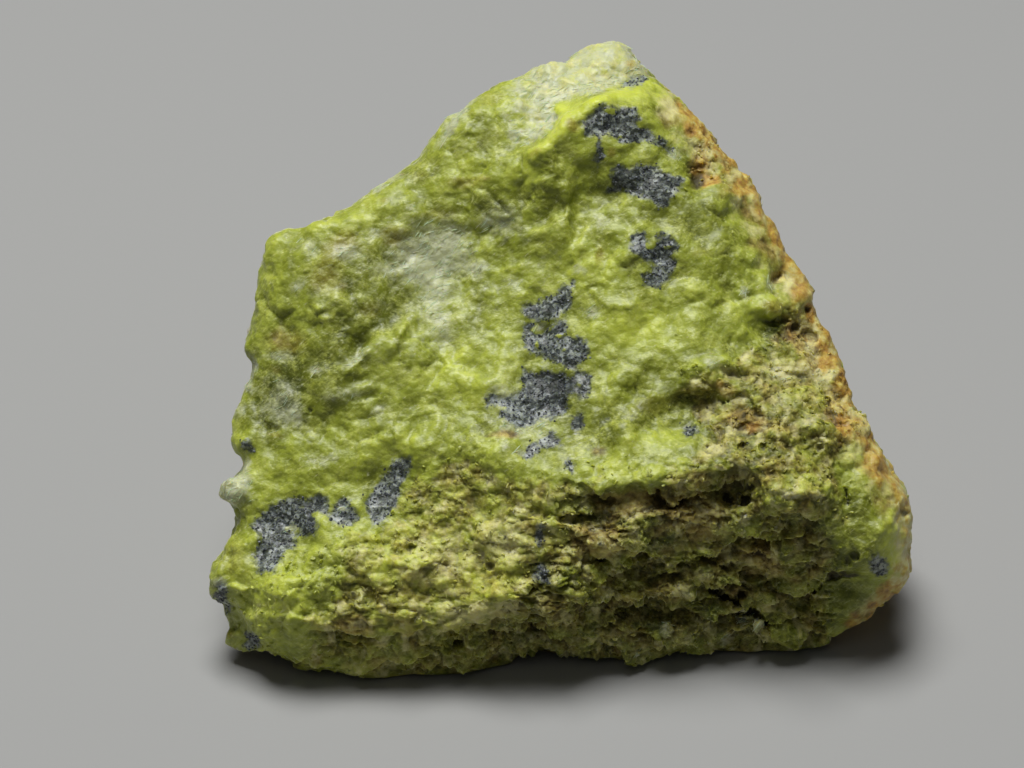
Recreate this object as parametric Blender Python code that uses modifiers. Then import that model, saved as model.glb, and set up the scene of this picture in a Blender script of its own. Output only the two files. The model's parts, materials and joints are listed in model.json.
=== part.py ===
"""A hand specimen of lizardite: one broken piece of waxy yellow-green serpentine rock.

The stone stands on its lower fracture. Its broad front leans back, and a brow across the lower
third overhangs a shaded front wall. Behind, flat fractures meet in blunt edges.

The front is laid out on a leaning sheet. On it u runs to the right, v runs up the lean and w
stands out towards an eye that looks square at the sheet. A point keeps its u and v along the
line of sight to that eye, so the outline on the sheet is the stone's outline as seen from there.
Sheet sizes and fracture places are in millimetres, and the finished stone is in metres.
"""
import math

import bmesh
import bpy
import numpy as np
from mathutils import Vector, noise

MM = 0.001

# The leaning sheet and the eye that looks at it
SHEET_LEAN = math.radians(35.0)
EYE_DISTANCE = 284.4
AIM_U, AIM_V = -4.8, 29.6

# Mesh fineness
BLANK_THICKNESS = 12.0
BLANK_STEP = 0.85
SKIN_STEP = 0.62
TRIANGLE_BUDGET = 9800
WEAR_PASSES = 8

# The rolled rim of the front: how far in it starts and how far it falls back at the outline
RIM_WIDTH, RIM_FALL = 2.4, 1.3
RIGHT_RIM_WIDTH, RIGHT_RIM_FALL = 4.2, 2.6
RIM_WALL = 2.2

# Where along u the knob at the top ends and the right side's deeper rim begins
KNOB_END = (7.5, 11.0)

# Share of a ridge or step over which it dies out at each end
FADE_SHARE = 0.22

# Outline on the sheet, from the tongue at the lower left up the left side and round to the right
OUTLINE = [
    (-35.4, 10.3), (-34.9, 12.0), (-33.4, 13.2), (-32.6, 14.4), (-32.2, 16.3), (-32.7, 17.4),
    (-33.4, 18.6), (-33.1, 19.8), (-31.9, 20.7), (-31.9, 22.2), (-33.1, 24.0), (-32.7, 25.4),
    (-32.6, 26.9), (-31.5, 28.4), (-31.3, 30.2), (-30.7, 31.4), (-31.5, 33.1), (-31.4, 34.4),
    (-31.0, 36.0), (-30.5, 39.5), (-30.0, 42.0), (-29.6, 44.1), (-28.6, 45.0), (-27.6, 45.3),
    (-26.4, 45.0), (-25.4, 45.4), (-23.6, 46.5), (-20.6, 47.5), (-18.0, 49.4), (-16.1, 50.7),
    (-14.9, 51.1), (-14.4, 52.0), (-13.1, 52.9), (-12.8, 54.6), (-11.4, 56.2), (-9.8, 57.0),
    (-8.3, 58.5), (-6.8, 59.8), (-4.8, 60.2), (-2.9, 61.0), (-2.0, 61.9), (-0.4, 61.9),
    (0.3, 61.6), (2.0, 62.6), (3.5, 64.0), (6.4, 63.8), (7.4, 62.8), (7.9, 61.3), (9.9, 60.1),
    (12.2, 58.0), (15.3, 54.6), (17.0, 52.5), (18.2, 50.7), (19.2, 50.2), (19.9, 49.0),
    (20.3, 47.2), (21.3, 45.4), (21.9, 45.0), (22.6, 43.2), (23.6, 41.6), (25.1, 40.1),
    (25.8, 38.7), (25.1, 37.8), (25.8, 36.1), (26.6, 35.0), (27.7, 33.1), (28.5, 31.6),
    (29.0, 29.0), (29.6, 27.2), (31.2, 25.1), (31.3, 24.0), (32.8, 22.2), (33.0, 21.1),
    (34.7, 18.9), (35.2, 17.4), (35.0, 14.0), (35.1, 12.2), (35.5, 11.2), (34.9, 9.9),
    (33.6, 8.3), (30.2, 5.5), (28.8, 4.7), (27.4, 4.0), (27.1, 3.1), (24.5, 2.7), (22.5, 2.1),
    (21.0, 2.7), (18.6, 2.0), (15.5, 2.3), (12.0, 2.5), (9.8, 1.9), (8.5, 1.3), (5.0, 1.6),
    (3.8, 1.6), (2.8, 1.2), (2.0, 2.0), (0.4, 1.9), (-0.7, 2.8), (-2.6, 2.8), (-4.4, 2.2),
    (-5.0, 1.3), (-7.2, 1.1), (-9.4, 0.1), (-14.0, 0.0), (-19.6, -0.5), (-21.6, 0.3),
    (-25.4, 0.4), (-26.3, 0.1), (-28.4, 2.0), (-29.7, 2.4), (-31.0, 1.8), (-32.5, 2.7),
    (-33.5, 4.3), (-33.1, 5.3), (-33.7, 6.9), (-34.5, 8.5), (-35.3, 8.8),
]

# Places where the front's depth is set; a smooth sheet runs through them (u, v, w)
DEPTH_SPOTS = [
    (-30.5, 44.0, -1.5), (-31.0, 31.0, 0.5), (-32.5, 20.0, 2.0), (-34.5, 10.0, 3.2),
    (-24.0, 44.0, 0.8), (-24.0, 36.0, 2.2), (-24.0, 26.0, 3.2), (-25.0, 16.0, 4.6),
    (-28.0, 6.5, 5.0), (-14.0, 50.0, 0.4), (-6.0, 58.0, -1.4), (3.0, 62.5, -4.2),
    (-12.0, 42.0, 0.6), (-3.0, 50.0, 1.6), (0.0, 38.0, 3.2), (-10.0, 28.0, 4.2),
    (-14.0, 14.0, 5.8), (4.0, 57.0, 1.2), (9.5, 58.5, -1.4), (10.0, 50.0, 1.4),
    (17.0, 50.0, -0.6), (14.0, 40.0, 3.2), (23.0, 40.0, 0.8), (10.0, 28.0, 6.2),
    (25.0, 30.0, 4.2), (10.0, 20.5, 9.4), (22.0, 22.0, 9.0), (30.0, 19.5, 7.2),
    (34.0, 14.0, 5.8), (-16.0, 4.6, 5.6), (-6.0, 10.0, 7.4), (-1.0, 15.0, 8.2),
    (-29.0, 2.6, 2.2), (-18.0, 0.2, 1.6), (-6.0, 1.6, 0.4), (6.0, 2.2, -0.8),
    (18.0, 2.6, -1.6), (26.5, 3.6, -1.4), (32.0, 8.0, 2.2), (0.0, 8.0, 6.4),
    (0.0, 4.0, 2.2), (8.0, 12.0, 5.4), (9.0, 6.0, 2.4), (18.0, 12.5, 5.0), (18.0, 6.0, 1.6),
    (29.5, 13.5, 6.6),
]

# Rounded lumps (positive) and hollows (negative): u, v, reach along, reach across, turn, height
SWELLS = [
    (-12.5, 43.0, 4.0, 7.5, 0.0, -1.3),
    (-14.0, 51.0, 4.0, 2.2, 20.0, -0.9),
    (-28.5, 42.0, 2.6, 4.5, 0.0, 0.7),
    (-19.0, 47.0, 4.5, 2.0, 25.0, 0.6),
    (-8.0, 55.0, 4.5, 3.0, 20.0, 0.6),
    (4.5, 48.5, 2.8, 4.0, 0.0, -1.1),
    (13.5, 48.0, 3.2, 2.2, -20.0, 0.8),
    (18.0, 47.5, 2.0, 1.6, 0.0, 0.7),
    (14.0, 43.6, 3.0, 1.5, -5.0, 0.7),
    (19.0, 42.8, 2.4, 1.4, -10.0, 0.8),
    (22.0, 37.6, 2.4, 1.2, 10.0, 1.5),
    (21.5, 35.6, 3.0, 0.9, 5.0, -0.9),
    (-0.5, 35.0, 2.8, 3.6, 0.0, -0.6),
    (-1.5, 27.5, 4.0, 2.6, 0.0, -0.5),
    (-6.5, 28.5, 2.0, 1.8, 0.0, 0.7),
    (-9.5, 24.0, 2.6, 1.8, -30.0, 0.8),
    (-5.5, 22.0, 2.2, 1.6, 15.0, 0.7),
    (7.0, 41.0, 3.0, 4.0, 10.0, 0.5),
    (23.8, 18.8, 2.4, 2.2, 0.0, 1.9),
    (28.3, 18.0, 1.6, 2.6, 0.0, -1.4),
    (14.5, 26.0, 5.0, 1.5, -12.0, -0.8),
    (24.0, 26.5, 2.6, 1.6, -10.0, 0.9),
    (26.5, 32.5, 1.8, 3.2, 15.0, -0.9),
    (-26.0, 10.0, 6.0, 3.2, 5.0, 0.8),
    (-16.0, 12.0, 5.0, 3.4, 0.0, 0.5),
    (-0.4, 8.2, 3.0, 1.6, 5.0, 1.5),
    (-4.0, 4.6, 2.4, 1.1, 15.0, -1.4),
    (20.2, 9.8, 1.7, 1.5, 20.0, -1.6),
    (16.4, 18.9, 2.1, 1.2, 10.0, -1.5),
    (17.5, 21.6, 3.4, 1.3, 0.0, 0.8),
    (9.0, 16.2, 4.0, 1.2, 8.0, 0.7),
    (2.6, 4.4, 2.8, 1.6, 0.0, 0.9),
    (8.2, 2.8, 1.6, 1.2, 0.0, 0.8),
    (12.6, 5.0, 1.8, 1.0, 20.0, 0.9),
    (-4.0, 13.5, 2.4, 1.6, -35.0, 0.9),
    (7.0, 14.0, 3.4, 1.6, 5.0, 0.9),
    (-32.2, 5.2, 1.8, 2.6, 10.0, -1.9),
    (-34.0, 11.0, 2.2, 1.8, 40.0, 0.8),
    (-32.6, 19.0, 1.2, 1.2, 0.0, 0.9),
    (-27.5, 13.5, 3.0, 2.0, 0.0, -0.5),
    (-18.0, 19.5, 1.6, 3.2, -20.0, -0.5),
    (31.5, 14.5, 2.6, 3.0, 0.0, 0.7),
    (-12.0, 2.8, 4.0, 1.2, 0.0, 0.5),
]

# Ridges (positive) and grooves (negative) along a line: points, half width, height
RIDGES = [
    ([(-16.0, 37.5), (-19.0, 35.0), (-21.5, 31.0)], 0.9, -0.9),
    ([(-14.5, 37.0), (-17.8, 33.8), (-20.4, 30.4), (-25.0, 29.0)], 0.8, 0.6),
    ([(-16.3, 33.5), (-18.5, 30.8), (-22.5, 29.2)], 0.7, -0.7),
    ([(-11.0, 39.0), (-14.5, 34.0), (-16.5, 29.0)], 1.0, 0.5),
    ([(4.4, 59.0), (6.6, 59.4), (8.8, 60.2)], 0.55, -2.4),
    ([(17.0, 31.5), (10.5, 28.5), (4.5, 24.0)], 1.2, 0.7),
    ([(13.0, 34.5), (7.0, 30.5), (3.5, 27.0)], 0.9, 0.6),
    ([(18.0, 29.5), (12.0, 26.2), (7.5, 23.0)], 0.9, -0.7),
    ([(-25.5, 36.0), (-29.0, 33.5)], 0.9, -0.6),
    ([(22.5, 7.2), (27.0, 9.3), (32.0, 10.0)], 0.5, -1.0),
    ([(24.0, 3.6), (28.0, 7.0), (32.0, 9.0)], 0.7, 0.6),
    ([(17.5, 8.0), (20.5, 5.4)], 0.5, -1.4),
    ([(-22.0, 22.0), (-15.0, 24.0), (-9.0, 21.0)], 0.9, 0.5),
    ([(-27.0, 25.0), (-20.0, 25.5)], 0.8, -0.5),
    ([(16.0, 55.0), (17.0, 48.0), (22.0, 41.0), (25.0, 33.0), (29.5, 24.0)], 1.1, -0.8),
]

# Steps in the front: points, ramp, reach, height. The side on the left of the line stands proud.
STEPS = [
    ([(12.0, 58.4), (8.0, 59.2), (3.0, 58.7), (0.0, 57.3), (-3.5, 53.0), (-6.0, 51.5)], 0.45, 5.0, 2.3),
    ([(1.0, 43.0), (0.6, 48.0), (1.6, 52.5)], 0.6, 4.0, 1.2),
    ([(-30.0, 7.0), (-26.0, 4.6), (-17.0, 4.2), (-12.0, 4.4), (-8.2, 6.4), (-4.0, 7.3)], 0.5, 2.6, 1.6),
    ([(-4.0, 7.6), (-1.8, 6.0), (1.5, 5.7), (3.4, 8.4)], 0.4, 2.0, 1.4),
    ([(-3.0, 15.0), (-0.5, 17.4), (3.0, 18.0), (8.0, 18.8), (14.0, 18.8), (17.5, 20.6)], 0.6, 3.5, 1.7),
    ([(0.0, 13.2), (4.0, 12.3), (6.5, 13.6), (9.0, 15.2)], 0.5, 2.0, 1.3),
    ([(6.0, 7.4), (13.0, 8.1), (16.0, 9.0), (18.5, 8.0), (21.5, 5.4)], 0.45, 2.5, 1.7),
    ([(22.0, 7.0), (26.5, 9.8), (29.0, 10.2), (33.5, 10.6)], 0.4, 2.8, 2.2),
    ([(8.0, 4.0), (14.0, 3.9), (21.0, 3.6)], 0.4, 2.0, 0.9),
    ([(18.5, 17.6), (21.0, 16.4), (24.0, 16.2), (26.6, 18.2)], 0.5, 2.2, 1.5),
    ([(9.0, 14.6), (14.0, 15.2), (20.0, 15.4), (26.0, 14.0)], 0.6, 2.6, 1.1),
    ([(-31.2, 30.0), (-31.0, 25.0), (-31.4, 22.5)], 0.4, 1.6, -1.1),
]

# Small round pits: u, v, radius, depth
PITS = [
    (-15.0, 13.2, 0.45, 0.9), (-7.0, 11.5, 0.5, 0.8), (16.7, 18.3, 0.6, 1.2),
    (18.0, 24.0, 0.5, 0.8), (16.0, 25.0, 0.5, 0.8), (14.8, 23.5, 0.45, 0.8),
    (14.4, 50.6, 0.7, 1.1), (24.5, 37.0, 0.7, 0.9), (26.0, 28.5, 0.8, 1.1),
    (27.0, 25.5, 0.6, 1.0), (22.3, 23.4, 0.5, 0.9),
]

# Flat fractures behind the front: a point on each, and the way it faces
FRACTURES = {
    "back": ((0.0, 50.0, 25.0), (0.05, 1.0, 0.14)),
    "back_left": ((-12.7, 37.4, 43.8), (-0.437, 0.845, 0.304)),
    "left": ((-31.6, 22.6, 25.3), (-0.725, 0.326, -0.208)),
    "right": ((25.1, 27.6, 31.0), (0.85, 0.485, 0.21)),
    "back_right": ((16.8, 44.8, 32.5), (0.42, 0.86, 0.26)),
    "under_right": ((30.6, 6.5, 4.4), (0.673, 0.17, -0.726)),
    "under_left": ((-33.6, 5.0, 4.2), (-0.82, 0.15, -0.55)),
    "heel": ((0.0, 49.0, 11.0), (0.12, 0.8, -0.6)),
}
FRACTURE_BLUNTING = 1.4

# Flat contact patches under the stone: x, y, radius
CONTACTS = [(-16.0, 12.0, 6.5), (18.0, 14.0, 6.0), (2.0, 31.0, 6.0)]
UNDERSIDE_LIFT = 1.5

# Hidden relief stands out by this share of a point's distance inside the outline at most, and
# cuts in by this share of its distance behind the front
OUTLINE_CLEARANCE, RIM_CLEARANCE = 0.7, 0.25

# Relief by size across and height: of the waxy front, of its crumbly part and of the fractures
WAXY_SWELLS = (7.0, 0.7)
CRUMB_BLOCKS, CRUMB_LUMPS = (4.6, 1.7), (2.8, 0.6)
WAXY_SHARE_OF_CRUMBS = 0.3
MEAN_CRACK_GAP = 0.38
SHELLY_SWELLS, FRACTURE_BLOCKS, FRACTURE_LUMPS = (15.0, 1.5), (8.5, 1.1), (3.6, 0.45)
UNDERSIDE_SWELLS, CONTACT_RAGGEDNESS = 7.0, 1.6

# How far ridges and steps wander from their lines, by size across
EDGE_WANDER = (3.4, 1.1)

STONE_GREEN = (0.36, 0.42, 0.06, 1.0)
WAXY_ROUGHNESS = 0.48

RIGHT = np.array([1.0, 0.0, 0.0])
UP_SHEET = np.array([0.0, math.sin(SHEET_LEAN), math.cos(SHEET_LEAN)])
OUT_OF_SHEET = np.array([0.0, -math.cos(SHEET_LEAN), math.sin(SHEET_LEAN)])


def clear_scene():
    """Remove whatever the file starts with."""
    for thing in list(bpy.data.objects):
        bpy.data.objects.remove(thing, do_unlink=True)


def smooth_step(value, low, high):
    """0 below low, 1 above high and an even curve between."""
    share = np.clip((value - low) / (high - low), 0.0, 1.0)
    return share * share * (3.0 - 2.0 * share)


def place(sheet):
    """World points of sheet points, in millimetres; rows of u, v and w."""
    u, v, w = sheet.T
    spread = 1.0 - w / EYE_DISTANCE
    across = AIM_U + (u - AIM_U) * spread
    along = AIM_V + (v - AIM_V) * spread
    return np.outer(across, RIGHT) + np.outer(along, UP_SHEET) + np.outer(w, OUT_OF_SHEET)


def unplace(points):
    """Sheet points of world points, the reverse of place."""
    w = points @ OUT_OF_SHEET
    spread = 1.0 - w / EYE_DISTANCE
    u = AIM_U + (points @ RIGHT - AIM_U) / spread
    v = AIM_V + (points @ UP_SHEET - AIM_V) / spread
    return np.column_stack([u, v, w])


def plane_depth(u, v, point, facing):
    """Depth w at which each line of sight meets a flat plane."""
    on_sheet = np.outer(u, RIGHT) + np.outer(v, UP_SHEET)
    off_aim = np.outer(u - AIM_U, RIGHT) + np.outer(v - AIM_V, UP_SHEET)
    sight = OUT_OF_SHEET - off_aim / EYE_DISTANCE
    return (np.dot(facing, point) - on_sheet @ facing) / (sight @ facing)


def distance_to_line(u, v, line):
    """Distance from each point to a line of points, its side (1 on the left, -1 on the right)
    and a fade that is 1 along the line and 0 at and beyond its two ends."""
    nearest = np.full(len(u), np.inf)
    side, along = np.ones(len(u)), np.zeros(len(u))
    passed = 0.0
    for (u0, v0), (u1, v1) in zip(line, line[1:]):
        run_u, run_v = u1 - u0, v1 - v0
        length = math.hypot(run_u, run_v)
        share = np.clip(((u - u0) * run_u + (v - v0) * run_v) / length ** 2, 0.0, 1.0)
        off_u, off_v = u - u0 - share * run_u, v - v0 - share * run_v
        gap = np.hypot(off_u, off_v)
        closer = gap < nearest
        nearest[closer] = gap[closer]
        side[closer] = np.where((run_u * off_v - run_v * off_u)[closer] >= 0.0, 1.0, -1.0)
        along[closer] = (passed + share * length)[closer]
        passed += length
    fade = smooth_step(np.minimum(along, passed - along), 0.0, FADE_SHARE * passed)
    return nearest, side, fade


def thin_plate(spots):
    """A smooth surface through the given spots, as a function of u and v."""
    spots = np.array(spots)
    count = len(spots)

    def bend(gap):
        return gap ** 2 * np.log(gap + 1e-9)

    def plane_terms(u, v):
        return np.column_stack([np.ones(len(u)), u, v])

    gaps = np.hypot(spots[:, None, 0] - spots[None, :, 0], spots[:, None, 1] - spots[None, :, 1])
    system = np.zeros((count + 3, count + 3))
    system[:count, :count] = bend(gaps)
    system[:count, count:] = plane_terms(spots[:, 0], spots[:, 1])
    system[count:, :count] = system[:count, count:].T
    weights = np.linalg.solve(system, np.concatenate([spots[:, 2], np.zeros(3)]))

    def surface(u, v):
        gap = np.hypot(u[:, None] - spots[None, :, 0], v[:, None] - spots[None, :, 1])
        return bend(gap) @ weights[:count] + plane_terms(u, v) @ weights[count:]

    return surface


def swells(points, relief, octaves, seed):
    """Rounded relief at each point, of the given size across and height."""
    size, height = relief
    shift = Vector((seed * 7.1, seed * 3.7, seed * 5.3))
    values = [noise.fractal(Vector(point) / size + shift, 1.0, 2.0, octaves) for point in points]
    return height * np.array(values)


def blocks(points, relief, seed):
    """Relief of blunt blocks parted by narrow cracks, of the given size across and height."""
    size, height = relief
    shift = Vector((seed * 4.3, seed * 9.1, seed * 2.9))
    crack_gaps = []
    for point in points:
        nearest = noise.voronoi(Vector(point) / size + shift)[0]
        crack_gaps.append(nearest[1] - nearest[0])
    return height * (np.clip(crack_gaps, 0.0, 1.0) - MEAN_CRACK_GAP)


def front_depth(u, v):
    """Depth of the stone's front at each line of sight."""
    flat = np.column_stack([u, v, np.zeros(len(u))])
    depth = thin_plate(DEPTH_SPOTS)(u, v)
    for centre_u, centre_v, along, across, turn, height in SWELLS:
        cos_turn, sin_turn = math.cos(math.radians(turn)), math.sin(math.radians(turn))
        off_u, off_v = u - centre_u, v - centre_v
        lengthwise = (off_u * cos_turn + off_v * sin_turn) / along
        sideways = (off_v * cos_turn - off_u * sin_turn) / across
        depth += height * np.exp(-0.5 * (lengthwise ** 2 + sideways ** 2))
    broken_u, broken_v = u + swells(flat, EDGE_WANDER, 2, 11), v + swells(flat, EDGE_WANDER, 2, 12)
    for line, half_width, height in RIDGES:
        gap, _, fade = distance_to_line(broken_u, broken_v, line)
        depth += height * fade * np.exp(-0.5 * (gap / half_width) ** 2)
    for line, ramp, reach, height in STEPS:
        gap, side, fade = distance_to_line(broken_u, broken_v, line)
        depth += 0.5 * height * fade * np.tanh(side * gap / ramp) * np.exp(-(gap / reach) ** 2)
    for centre_u, centre_v, radius, drop in PITS:
        depth -= drop * np.exp(-(np.hypot(u - centre_u, v - centre_v) / radius) ** 2)
    return depth + front_grain(flat)


def front_grain(flat):
    """Lumps of the front, coarse and crumbly at the right and below the brow."""
    u, v, _ = flat.T
    toward_right, toward_foot = smooth_step(u + 0.35 * v, 20.0, 34.0), smooth_step(-v, -20.0, -12.0)
    crumbly = np.maximum(toward_right, toward_foot) * smooth_step(u, -30.0, -4.0)
    share = WAXY_SHARE_OF_CRUMBS + (1.0 - WAXY_SHARE_OF_CRUMBS) * crumbly
    lumpy = blocks(flat, CRUMB_BLOCKS, 2) + swells(flat, CRUMB_LUMPS, 2, 3)
    return swells(flat, WAXY_SWELLS, 4, 1) + lumpy * share


def roll_rim(u, v, depth):
    """Let the front fall back where it nears the outline, furthest along the right side."""
    gap = distance_to_line(u, v, OUTLINE + OUTLINE[:1])[0]
    right = smooth_step(u + 0.55 * v, 36.0, 42.0) * smooth_step(u, *KNOB_END)
    width = RIM_WIDTH + (RIGHT_RIM_WIDTH - RIM_WIDTH) * right
    fall = RIM_FALL + (RIGHT_RIM_FALL - RIM_FALL) * right
    return depth - fall * (1.0 - np.clip(gap / width, 0.0, 1.0)) ** 2


def back_depth(u, v, front):
    """Depth of the fractures that close the stone behind, and of the ground under it."""
    behind = np.full(len(u), -np.inf)
    for point, facing in FRACTURES.values():
        behind = blunt_max(behind, plane_depth(u, v, point, facing))
    ground = plane_depth(u, v, (0.0, 0.0, 0.0), (0.0, 0.0, -1.0))
    return np.minimum(np.maximum(behind, ground), front - RIM_WALL)


def blunt_max(first, second):
    """The larger of two depths, with the edge between them blunted."""
    overlap = np.clip(0.5 + 0.5 * (second - first) / FRACTURE_BLUNTING, 0.0, 1.0)
    blunting = FRACTURE_BLUNTING * overlap * (1.0 - overlap)
    return np.where(np.isinf(first), second, np.maximum(first, second) + 0.5 * blunting)


def blank_from_outline():
    """The outline as an even slab, w running through its thickness."""
    curve = bpy.data.curves.new("outline", "CURVE")
    curve.dimensions = "2D"
    curve.fill_mode = "BOTH"
    curve.extrude = BLANK_THICKNESS / 2
    line = curve.splines.new("POLY")
    line.points.add(len(OUTLINE) - 1)
    for point, (u, v) in zip(line.points, OUTLINE):
        point.co = (u, v, 0.0, 1.0)
    line.use_cyclic_u = True
    slab = bpy.data.objects.new("blank", curve)
    bpy.context.scene.collection.objects.link(slab)
    solid = mesh_of(slab, "blank_solid")
    return reskin(solid, BLANK_STEP)


def mesh_of(source, name):
    """A plain mesh object of an evaluated object, which it replaces."""
    evaluated = source.evaluated_get(bpy.context.evaluated_depsgraph_get())
    mesh = bpy.data.meshes.new_from_object(evaluated)
    shape = bmesh.new()
    shape.from_mesh(mesh)
    bmesh.ops.remove_doubles(shape, verts=shape.verts, dist=1e-5)
    shape.to_mesh(mesh)
    shape.free()
    result = bpy.data.objects.new(name, mesh)
    bpy.context.scene.collection.objects.link(result)
    bpy.data.objects.remove(source, do_unlink=True)
    return result


def reskin(solid, step):
    """Give a solid an even skin of small faces."""
    remesh = solid.modifiers.new("even_skin", "REMESH")
    remesh.mode = "VOXEL"
    remesh.voxel_size = step
    return mesh_of(solid, solid.name)


def points_of(mesh):
    """The mesh's points as rows."""
    flat = np.empty(len(mesh.vertices) * 3)
    mesh.vertices.foreach_get("co", flat)
    return flat.reshape(-1, 3)


def set_points(mesh, points):
    """Move the mesh's points to the given rows."""
    mesh.vertices.foreach_set("co", np.ascontiguousarray(points, dtype=np.float64).ravel())
    mesh.update()


def normals_of(mesh):
    """The mesh's vertex normals as rows."""
    flat = np.empty(len(mesh.vertices) * 3)
    mesh.vertices.foreach_get("normal", flat)
    return flat.reshape(-1, 3)


def shape_blank(solid):
    """Push the slab's two faces to the stone's front and back, and lean it back."""
    points = points_of(solid.data)
    u, v = points[:, 0], points[:, 1]
    through = np.clip(points[:, 2] / BLANK_THICKNESS + 0.5, 0.0, 1.0)
    front = roll_rim(u, v, front_depth(u, v))
    back = back_depth(u, v, front)
    set_points(solid.data, place(np.column_stack([u, v, back + (front - back) * through])))
    return solid


def depth_behind_front(points):
    """How far each point lies behind the front on its line of sight, and inside the outline."""
    sheet = unplace(points)
    u, v = sheet[:, 0], sheet[:, 1]
    inside = distance_to_line(u, v, OUTLINE + OUTLINE[:1])[0]
    return roll_rim(u, v, front_depth(u, v)) - sheet[:, 2], inside


def soften_back(solid):
    """Wear down the thin edges where the fractures meet the rim, and leave the front sharp."""
    behind, _ = depth_behind_front(points_of(solid.data))
    worn = solid.vertex_groups.new(name="worn")
    for index, weight in enumerate(smooth_step(behind, 1.0, 2.5)):
        worn.add([index], float(weight), "REPLACE")
    wear = solid.modifiers.new("wear", "SMOOTH")
    wear.factor, wear.iterations = 0.5, WEAR_PASSES
    wear.vertex_group = worn.name
    softened = mesh_of(solid, solid.name)
    softened.vertex_groups.clear()
    return softened


def roughen_back(solid):
    """Shelly swells and small lumps on the hidden fractures; none stands out past the outline."""
    points, normals = points_of(solid.data), normals_of(solid.data)
    behind, inside = depth_behind_front(points)
    hidden = smooth_step(behind, 0.6, 3.0) * smooth_step(points[:, 2], 0.2, 2.5)
    relief = swells(points, SHELLY_SWELLS, 3, 5) + blocks(points, FRACTURE_BLOCKS, 6)
    relief += swells(points, FRACTURE_LUMPS, 2, 7)
    relief = np.clip(relief, -RIM_CLEARANCE * np.maximum(behind, 0.0), OUTLINE_CLEARANCE * inside)
    set_points(solid.data, points + normals * (relief * hidden)[:, None])
    return solid


def flatten_base(solid):
    """Rest the stone on flat contact patches, with the rough underside lifted between them."""
    points, normals = points_of(solid.data), normals_of(solid.data)
    under = smooth_step(-normals[:, 2], 0.3, 0.6) * smooth_step(-points[:, 2], -3.0, -2.0)
    floor = np.column_stack([points[:, 0], points[:, 1], np.zeros(len(points))])
    ragged = swells(floor, (5.0, CONTACT_RAGGEDNESS), 3, 8)
    contact = np.zeros(len(points))
    for x, y, radius in CONTACTS:
        gap = np.hypot(points[:, 0] - x, points[:, 1] - y) + ragged
        contact = np.maximum(contact, 1.0 - smooth_step(gap, radius, radius + 2.5))
    lift = UNDERSIDE_LIFT * np.clip(0.5 + swells(floor, (UNDERSIDE_SWELLS, 0.9), 3, 9), 0.0, 1.0)
    lifted = (1.0 - contact) * (points[:, 2] + lift)
    points[:, 2] = np.maximum(points[:, 2] + under * (lifted - points[:, 2]), 0.0)
    set_points(solid.data, points)
    return solid


def thin_out(solid):
    """Merge faces where the stone is flattest until it keeps to its budget of triangles."""
    triangles = sum(len(face.vertices) - 2 for face in solid.data.polygons)
    decimate = solid.modifiers.new("thin_out", "DECIMATE")
    decimate.ratio = TRIANGLE_BUDGET / triangles
    decimate.use_collapse_triangulate = True
    return mesh_of(solid, solid.name)


def stand_at_origin(solid):
    """Put the middle of the stone's footprint box at the origin, on the ground, in metres."""
    points = points_of(solid.data)
    points[points[:, 2] < 0.02, 2] = 0.0
    low, high = points.min(axis=0), points.max(axis=0)
    middle = np.array([(low[0] + high[0]) / 2, (low[1] + high[1]) / 2, 0.0])
    set_points(solid.data, (points - middle) * MM)
    return solid


def waxy_stone():
    """Plain stand-in for the stone's waxy yellow-green surface."""
    material = bpy.data.materials.new("waxy_lizardite")
    material.use_nodes = True
    surface = material.node_tree.nodes["Principled BSDF"]
    surface.inputs["Base Color"].default_value = STONE_GREEN
    surface.inputs["Roughness"].default_value = WAXY_ROUGHNESS
    surface.inputs["Metallic"].default_value = 0.0
    material.diffuse_color = STONE_GREEN
    return material


def build_stone():
    """The whole stone as one closed solid."""
    stone = shape_blank(blank_from_outline())
    stone = reskin(stone, SKIN_STEP)
    stone = flatten_base(roughen_back(soften_back(stone)))
    stone = stand_at_origin(thin_out(stone))
    stone.name = "lizardite_stone"
    stone.data.name = "lizardite_stone"
    stone.data.materials.append(waxy_stone())
    stone.data.shade_smooth()
    stone.data.set_sharp_from_angle(angle=math.radians(38.0))
    return stone


def main():
    clear_scene()
    stone = build_stone()
    specimen = bpy.data.collections.new("lizardite")
    bpy.context.scene.collection.children.link(specimen)
    specimen.objects.link(stone)
    bpy.context.scene.collection.objects.unlink(stone)


main()
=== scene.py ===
"""A hand specimen of lizardite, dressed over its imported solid.

The solid gives the stone's outline and main forms. Here a copy of it gets a fine skin, the ledges,
folds, pits and crumbs of the real surface, and a waxy yellow-green finish with dark magnetite
grains, silky whitish fibres and an ochre weathering rim. Loose-looking grains, crumbs and fibres
are small meshes scattered over the skin.

The front is laid out on a leaning sheet, in millimetres: u runs to the right, v runs up the lean
and w stands out towards the eye.
"""
import json
import logging
import math
from abc import ABC, abstractmethod
from collections.abc import Sequence
from dataclasses import dataclass, field
from enum import Enum, IntEnum
from functools import partial

import bmesh
import bpy
import numpy as np
from mathutils import Matrix, Vector

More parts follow.
